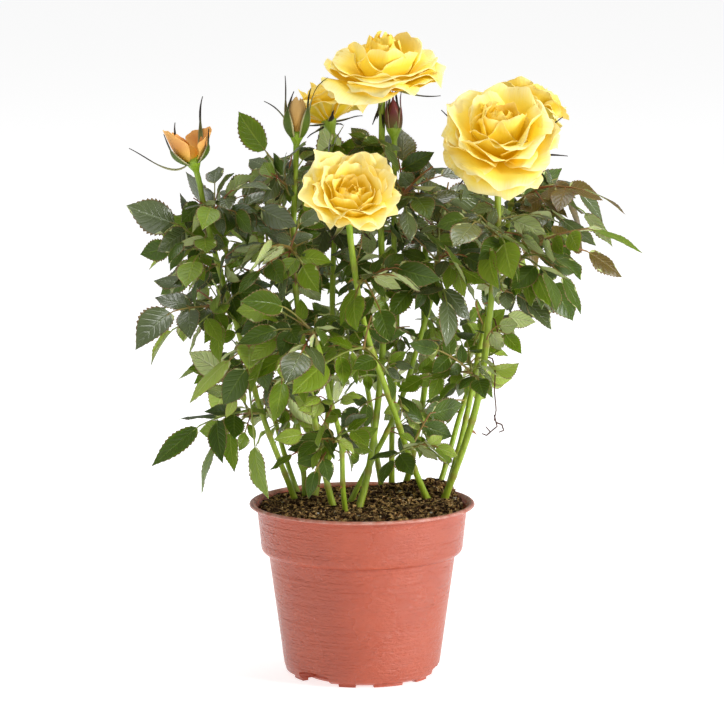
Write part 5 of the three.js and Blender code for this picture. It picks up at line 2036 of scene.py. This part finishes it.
@dataclass
class Foliage:
    """The leaves and twigs as meshes: serrate leaflets, their stalks and the shoots."""

    growth: Growth
    panels: int = 6
    teeth: int = 2
    inner: float = 0.55
    width: float = 0.62
    slim_from: float = 30
    slim: float = 0.74
    tooth: float = 0.065
    side_share: float = 0.84
    thick: float = 0.3
    petiole: float = 0.05
    bends: tuple[Pair, ...] = ((0.02, 0.42), (-0.02, 0.24), (0.02, 0.26), (-0.1, 0.1), (0.1, 0.5))
    bronze_from: Pair = (96, 215)
    crown_z: float = 236

    def pattern(self) -> tuple[Array, Array, Array, list[list[int]], list[int]]:
        """One leaflet's flat pattern, shared by all: a midrib, a column half way out, and an edge
        with one tooth for each panel between two side veins.

        Returns:
            Along, across and height (1 upper side, -1 under side, 0 on the edge) for each point,
            the faces, and for each face 0 on the upper side or 1 on the under side.
        """
        n = self.panels
        along, across, layer = [], [], []

        def add(u: float, v: float, level: int) -> int:
            """Adds a point and returns its number."""
            along.append(u)
            across.append(v)
            layer.append(level)
            return len(along) - 1

        station = [i / n for i in range(n + 1)]
        base, tip = add(0, 0, 0), add(1, 0, 0)
        faces, sides = [], []
        edges = {hand: [add(t, hand * (1 - self.tooth), 0) for t in station[1:n]] for hand in (-1, 1)}
        teeth = {hand: [self.saw(add, station[i], 1 / n, hand) for i in range(n)] for hand in (-1, 1)}
        for level in (1, -1):
            ribs = [base] + [add(station[i], 0, level) for i in range(1, n)] + [tip]
            for hand in (-1, 1):
                mids = [add(station[i], hand * self.inner, level) for i in range(1, n)]
                rims = edges[hand]
                for i in range(n):
                    if i == 0:
                        loops = [[ribs[0], mids[0], ribs[1]], [ribs[0], *teeth[hand][0], rims[0], mids[0]]]
                    elif i == n - 1:
                        loops = [[ribs[i], mids[-1], tip], [mids[-1], rims[-1], *teeth[hand][i], tip]]
                    else:
                        loops = [
                            [ribs[i], mids[i - 1], mids[i], ribs[i + 1]],
                            [mids[i - 1], rims[i - 1], *teeth[hand][i], rims[i], mids[i]],
                        ]
                    faces += loops if hand == level else [loop[::-1] for loop in loops]
                    sides += [0 if level == 1 else 1] * 2
        return np.array(along), np.array(across), np.array(layer), faces, sides

    def saw(
        self, add: Callable[[float, float, int], int], start: float, step: float, hand: int
    ) -> list[int]:
        """The teeth of one panel's edge: each rises to a peak near its far end, then drops back."""
        made = []
        for k in range(self.teeth):
            made.append(add(start + step * (k + 0.72) / self.teeth, hand * (1 + self.tooth), 0))
            if k < self.teeth - 1:
                made.append(add(start + step * (k + 1) / self.teeth, hand * (1 - self.tooth), 0))
        return made

    def leaflets(self, leaves: list[Leaf], tints: list[Tint]) -> Skin:
        """All leaflets of some leaves as one skin.

        A point at (u, v) is root + way * length * (0.05 + 0.95u) + side * half(u) * v + face *
        height, where half(u) is the half width times sin(pi * u^0.8)^(0.62 + 0.5u), and the
        height is a fold up from the midrib, less a droop of u^2, less a curl of v^2, plus waves.
        A leaflet that would cut a cane is left out, here and in its leaf.

        Args:
            leaves: The leaves.
            tints: Each leaf's tint.

        Returns:
            The skin, its slots being the tints and, last, the under side.
        """
        each = [(leaf, x, tint) for leaf, tint in zip(leaves, tints) for x in leaf.leaflets]
        keys = "root", "way", "face"
        root, way, face = (np.array([getattr(x, key) for _, x, _ in each]) for key in keys)
        length = np.array([x.length for _, x, _ in each])
        number = np.arange(len(each)) + 0.5
        side = np.cross(way, face)
        slimmed = np.where(length > self.slim_from, self.slim, 1)
        wide = self.width * mix(0.72, 1.14, chance(number, 3, 81)) * slimmed
        fold, curl, droop, bend, waviness = (
            mix(*limits, chance(number, k, 81))[:, None] for k, limits in enumerate(self.bends, 4)
        )

        def surface(u: Array, v: Array, layer: float | Array) -> Array:
            """(leaflets, places, 3) points at shares along and across, on the side of layer."""
            half_shape = np.sin(np.pi * np.clip(u, 0, 1) ** 0.8) ** (0.62 + 0.5 * u)
            half = (length * wide / 2)[:, None] * half_shape
            wave = waviness * np.sin(u * 11 + number[:, None]) * v**2
            vein = 0.08 * np.cos(2 * np.pi * self.panels * u) * (np.abs(v) > 0.3)
            height = half * (fold * np.abs(v) - curl * v**2) - droop * length[:, None] * u**2
            height = height + wave + vein + layer * self.thick / 2
            ahead = length[:, None] * (self.petiole + (1 - self.petiole) * u)
            aside = half * v + bend * length[:, None] * u**2
            parts = ((way, ahead), (side, aside), (face, height))
            return root[:, None] + sum(axis[:, None] * far[..., None] for axis, far in parts)

        grid = np.meshgrid(np.linspace(0.04, 1, 25), np.linspace(-1, 1, 11))
        along, across = grid[0].ravel(), grid[1].ravel()
        clear = ~self.growth.canes.touched(surface(along, across, 0.0)).any(1)
        for (leaf, cut, _), fits in zip(each, clear):
            if not fits:
                leaf.leaflets = [x for x in leaf.leaflets if x is not cut]
        u, v, layer, faces, under = self.pattern()
        size, count = len(u), int(clear.sum())
        flat = np.concatenate([np.array(f) for f in faces])
        lengths = np.array([len(f) for f in faces])
        offset = np.arange(count)[:, None]
        corners = (flat[None] + size * offset).ravel()
        starts = (np.concatenate([[0], np.cumsum(lengths)[:-1]])[None] + len(flat) * offset).ravel()
        tint = np.array([t.value for _, _, t in each])[clear, None]
        slots = np.where(np.array(under)[None] == 1, LEAF_BACK_SLOT, tint).ravel()
        uv = np.tile(np.stack([u, v], 1), (count, 1))
        shade = np.repeat(chance(number[clear], 9, 81) ** 2, size)
        return Skin(surface(u, v, layer)[clear].reshape(-1, 3), corners, starts, slots, uv, shade)

    def stalks(self, leaves: list[Leaf]) -> Skin:
        """The leaves' stalks, which sag by the growth rule, and each leaflet's short own stalk."""
        s = evenly(8)
        base, middle, end = (np.array([leaf.knots[k] for leaf in leaves])[:, None] for k in range(3))
        control = 2 * middle - (base + end) / 2
        t = s[None, :, None]
        paths = (1 - t) ** 2 * base + 2 * t * (1 - t) * control + t**2 * end
        main = np.array([0.42 if leaf.fine else 0.56 for leaf in leaves])[:, None]
        radii = main * (1 + 0.75 * np.exp(-s * 14) - 0.3 * s)[None]
        short = [x for leaf in leaves for x in leaf.leaflets]
        root, way = (np.array([getattr(x, key) for x in short])[:, None] for key in ("root", "way"))
        length = np.array([x.length for x in short])[:, None, None]
        own = root + way * length * np.linspace(-0.01, self.petiole + 0.1, 4)[:, None]
        thin = np.full((len(short), 4), 0.34) * np.linspace(1.1, 0.75, 4)
        shade = np.array([chance(leaf.seed, leaf.index, 82) for leaf in leaves])
        rachis = tubes(paths, radii, 6).shaded(np.repeat(shade, 8 * 6))
        each = np.repeat(shade, [len(leaf.leaflets) for leaf in leaves])
        return joined([rachis, tubes(own, thin, 5).shaded(np.repeat(each, 4 * 5))])

    def shoots(self, lines: list[Array]) -> Skin:
        """The shoots themselves, thinning from the cane outwards, with a swelling at the start."""
        s = evenly(17)
        radii = mix(1.15, 0.75, s) + 0.35 * np.exp(-s * 18)
        knots = 1 + 0.1 * np.maximum(0, np.cos(s * 2 * np.pi * 3)) ** 8
        skin = tubes(np.array(lines), np.tile(radii * knots, (len(lines), 1)), 8)
        return skin.shaded(np.tile(np.repeat(0.3 + 0.4 * s, 8), len(lines)))

    def tint(self, leaf: Leaf) -> Tint:
        """A spray's tint: slate and bronze near the top, brighter greens lower down and inside. The
        greyish slate stands partly for a painted sheen on leaves facing the sky, and the brighter
        greens partly for painted light shining through leaves lit from behind.
        """
        x, _, z = leaf.knots[-1]
        deep, slate, middle, bright, bronze = Tint
        if leaf.clump is Clump.RIGHT and x > self.bronze_from[0] and z > self.bronze_from[1]:
            table = ((0.26, bronze), (0.6, deep), (0.9, slate), (ALL, middle))
        elif z > self.crown_z:
            table = ((0.46, slate), (0.8, deep), (0.84, bronze), (ALL, middle))
        elif z > self.growth.open_below:
            table = ((0.48, deep), (0.64, slate), (0.9, middle), (ALL, bright))
        elif leaf.fine:
            table = ((0.2, deep), (0.3, slate), (0.66, middle), (ALL, bright))
        else:
            table = ((0.26, deep), (0.33, slate), (0.6, middle), (0.75, bright), (ALL, deep))
        roll = chance(leaf.seed, leaf.index, 83)
        return next(tint for limit, tint in table if roll < limit)

    def build(self) -> None:
        """Grows the leaves and builds each clump's foliage and its twigs."""
        leaves, twigs = self.growth.all_leaves()
        leaves = [leaf.drawn(self.side_share) for leaf in leaves]
        log.info("%d leaves, %d leaflets", len(leaves), sum(len(leaf.leaflets) for leaf in leaves))
        finishes = [LEAF_FINISHES[tint].make() for tint in Tint] + [LEAF_BACK.make()]
        bark = Bark("twig_bark", (126, 150, 60), (150, 162, 78), (150, 78, 52), 0.45).make()
        for clump in Clump:
            own = [leaf for leaf in leaves if leaf.clump is clump]
            nodes = ["leaves_" + name for name, shoot in SHOOTS.items() if CANES[shoot.cane].clump is clump]
            skin = self.leaflets(own, [self.tint(leaf) for leaf in own])
            make_piece("foliage_" + clump.value, skin, finishes, "rose_leaf", nodes, 75)
            lines = [line for side, line in twigs if side is clump]
            stems = joined([self.shoots(lines), self.stalks(own)])
            make_piece("twigs_" + clump.value, stems, [bark], "green_cane", nodes)


# ---- the studio


@dataclass
class Studio:
    """A pale floor, soft light from all round and a long lens at the height of the blooms."""

    eye: Triple = (0, -2.2, 0.5)
    aim: Triple = (0, 0, 0.168)
    view_degrees: float = 9.86
    floor_half: float = 14

    def aimed(self, name: str, data: bpy.types.ID, place: Triple) -> bpy.types.Object:
        """Puts a light or a camera at a place, facing the plant."""
        thing = bpy.data.objects.new(name, data)
        thing.location = place
        thing.rotation_mode = "QUATERNION"
        toward = Vector(self.aim) - Vector(place)
        thing.rotation_quaternion = toward.to_track_quat("-Z", "Y")
        bpy.context.scene.collection.objects.link(thing)
        return thing

    def lamp(self, name: str, place: Triple, size: float, power: float) -> None:
        """A square soft light that faces the plant."""
        light = bpy.data.lights.new(name, "AREA")
        light.size, light.energy = size, power
        self.aimed(name, light, place)

    def build(self) -> None:
        """Builds the floor, the lights and the camera."""
        scene = bpy.context.scene
        mesh = bpy.data.meshes.new("floor")
        h = self.floor_half
        mesh.from_pydata([(-h, -h, 0), (h, -h, 0), (h, h, 0), (-h, h, 0)], [], [(0, 1, 2, 3)])
        floor = bpy.data.objects.new("floor", mesh)
        scene.collection.objects.link(floor)
        pale = Bench("pale_floor")
        pale.set(Base_Color=(0.6, 0.6, 0.6, 1), Roughness=0.9, Specular_IOR_Level=0.0)
        pale.set(Emission_Color=(1, 1, 1, 1), Emission_Strength=0.76)
        mesh.materials.append(pale.material)
        world = bpy.data.worlds.new("studio")
        world.use_nodes = True
        world.node_tree.nodes["Background"].inputs["Color"].default_value = (1, 1, 1, 1)
        world.node_tree.nodes["Background"].inputs["Strength"].default_value = 0.3
        scene.world = world
        self.lamp("key_light", (1.9, -0.95, 0.75), 0.6, 38)
        self.lamp("top_light", (-0.1, 0.3, 2.2), 1.5, 30)
        self.lamp("fill_light", (-1.6, -1.6, 0.9), 1.2, 5)
        camera = bpy.data.cameras.new("camera")
        camera.sensor_width = 36
        camera.lens = 18 / math.tan(math.radians(self.view_degrees / 2))
        camera.clip_end = 60
        scene.camera = self.aimed("camera", camera, self.eye)
        scene.view_settings.view_transform = "Standard"


def main() -> None:
    """Loads the frame, builds the plant and its pot piece by piece."""
    logging.basicConfig(level=logging.INFO, format="%(name)s: %(message)s")
    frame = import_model()
    Studio().build()
    pot = Pot()
    pot.build()
    soil = Soil(pot)
    soil.build()
    canes = Canes(soil)
    canes.build()
    flowers = Flowers(canes)
    flowers.build()
    Foliage(Growth(canes, flowers)).build()
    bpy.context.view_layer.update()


if __name__ == "__main__":
    main()
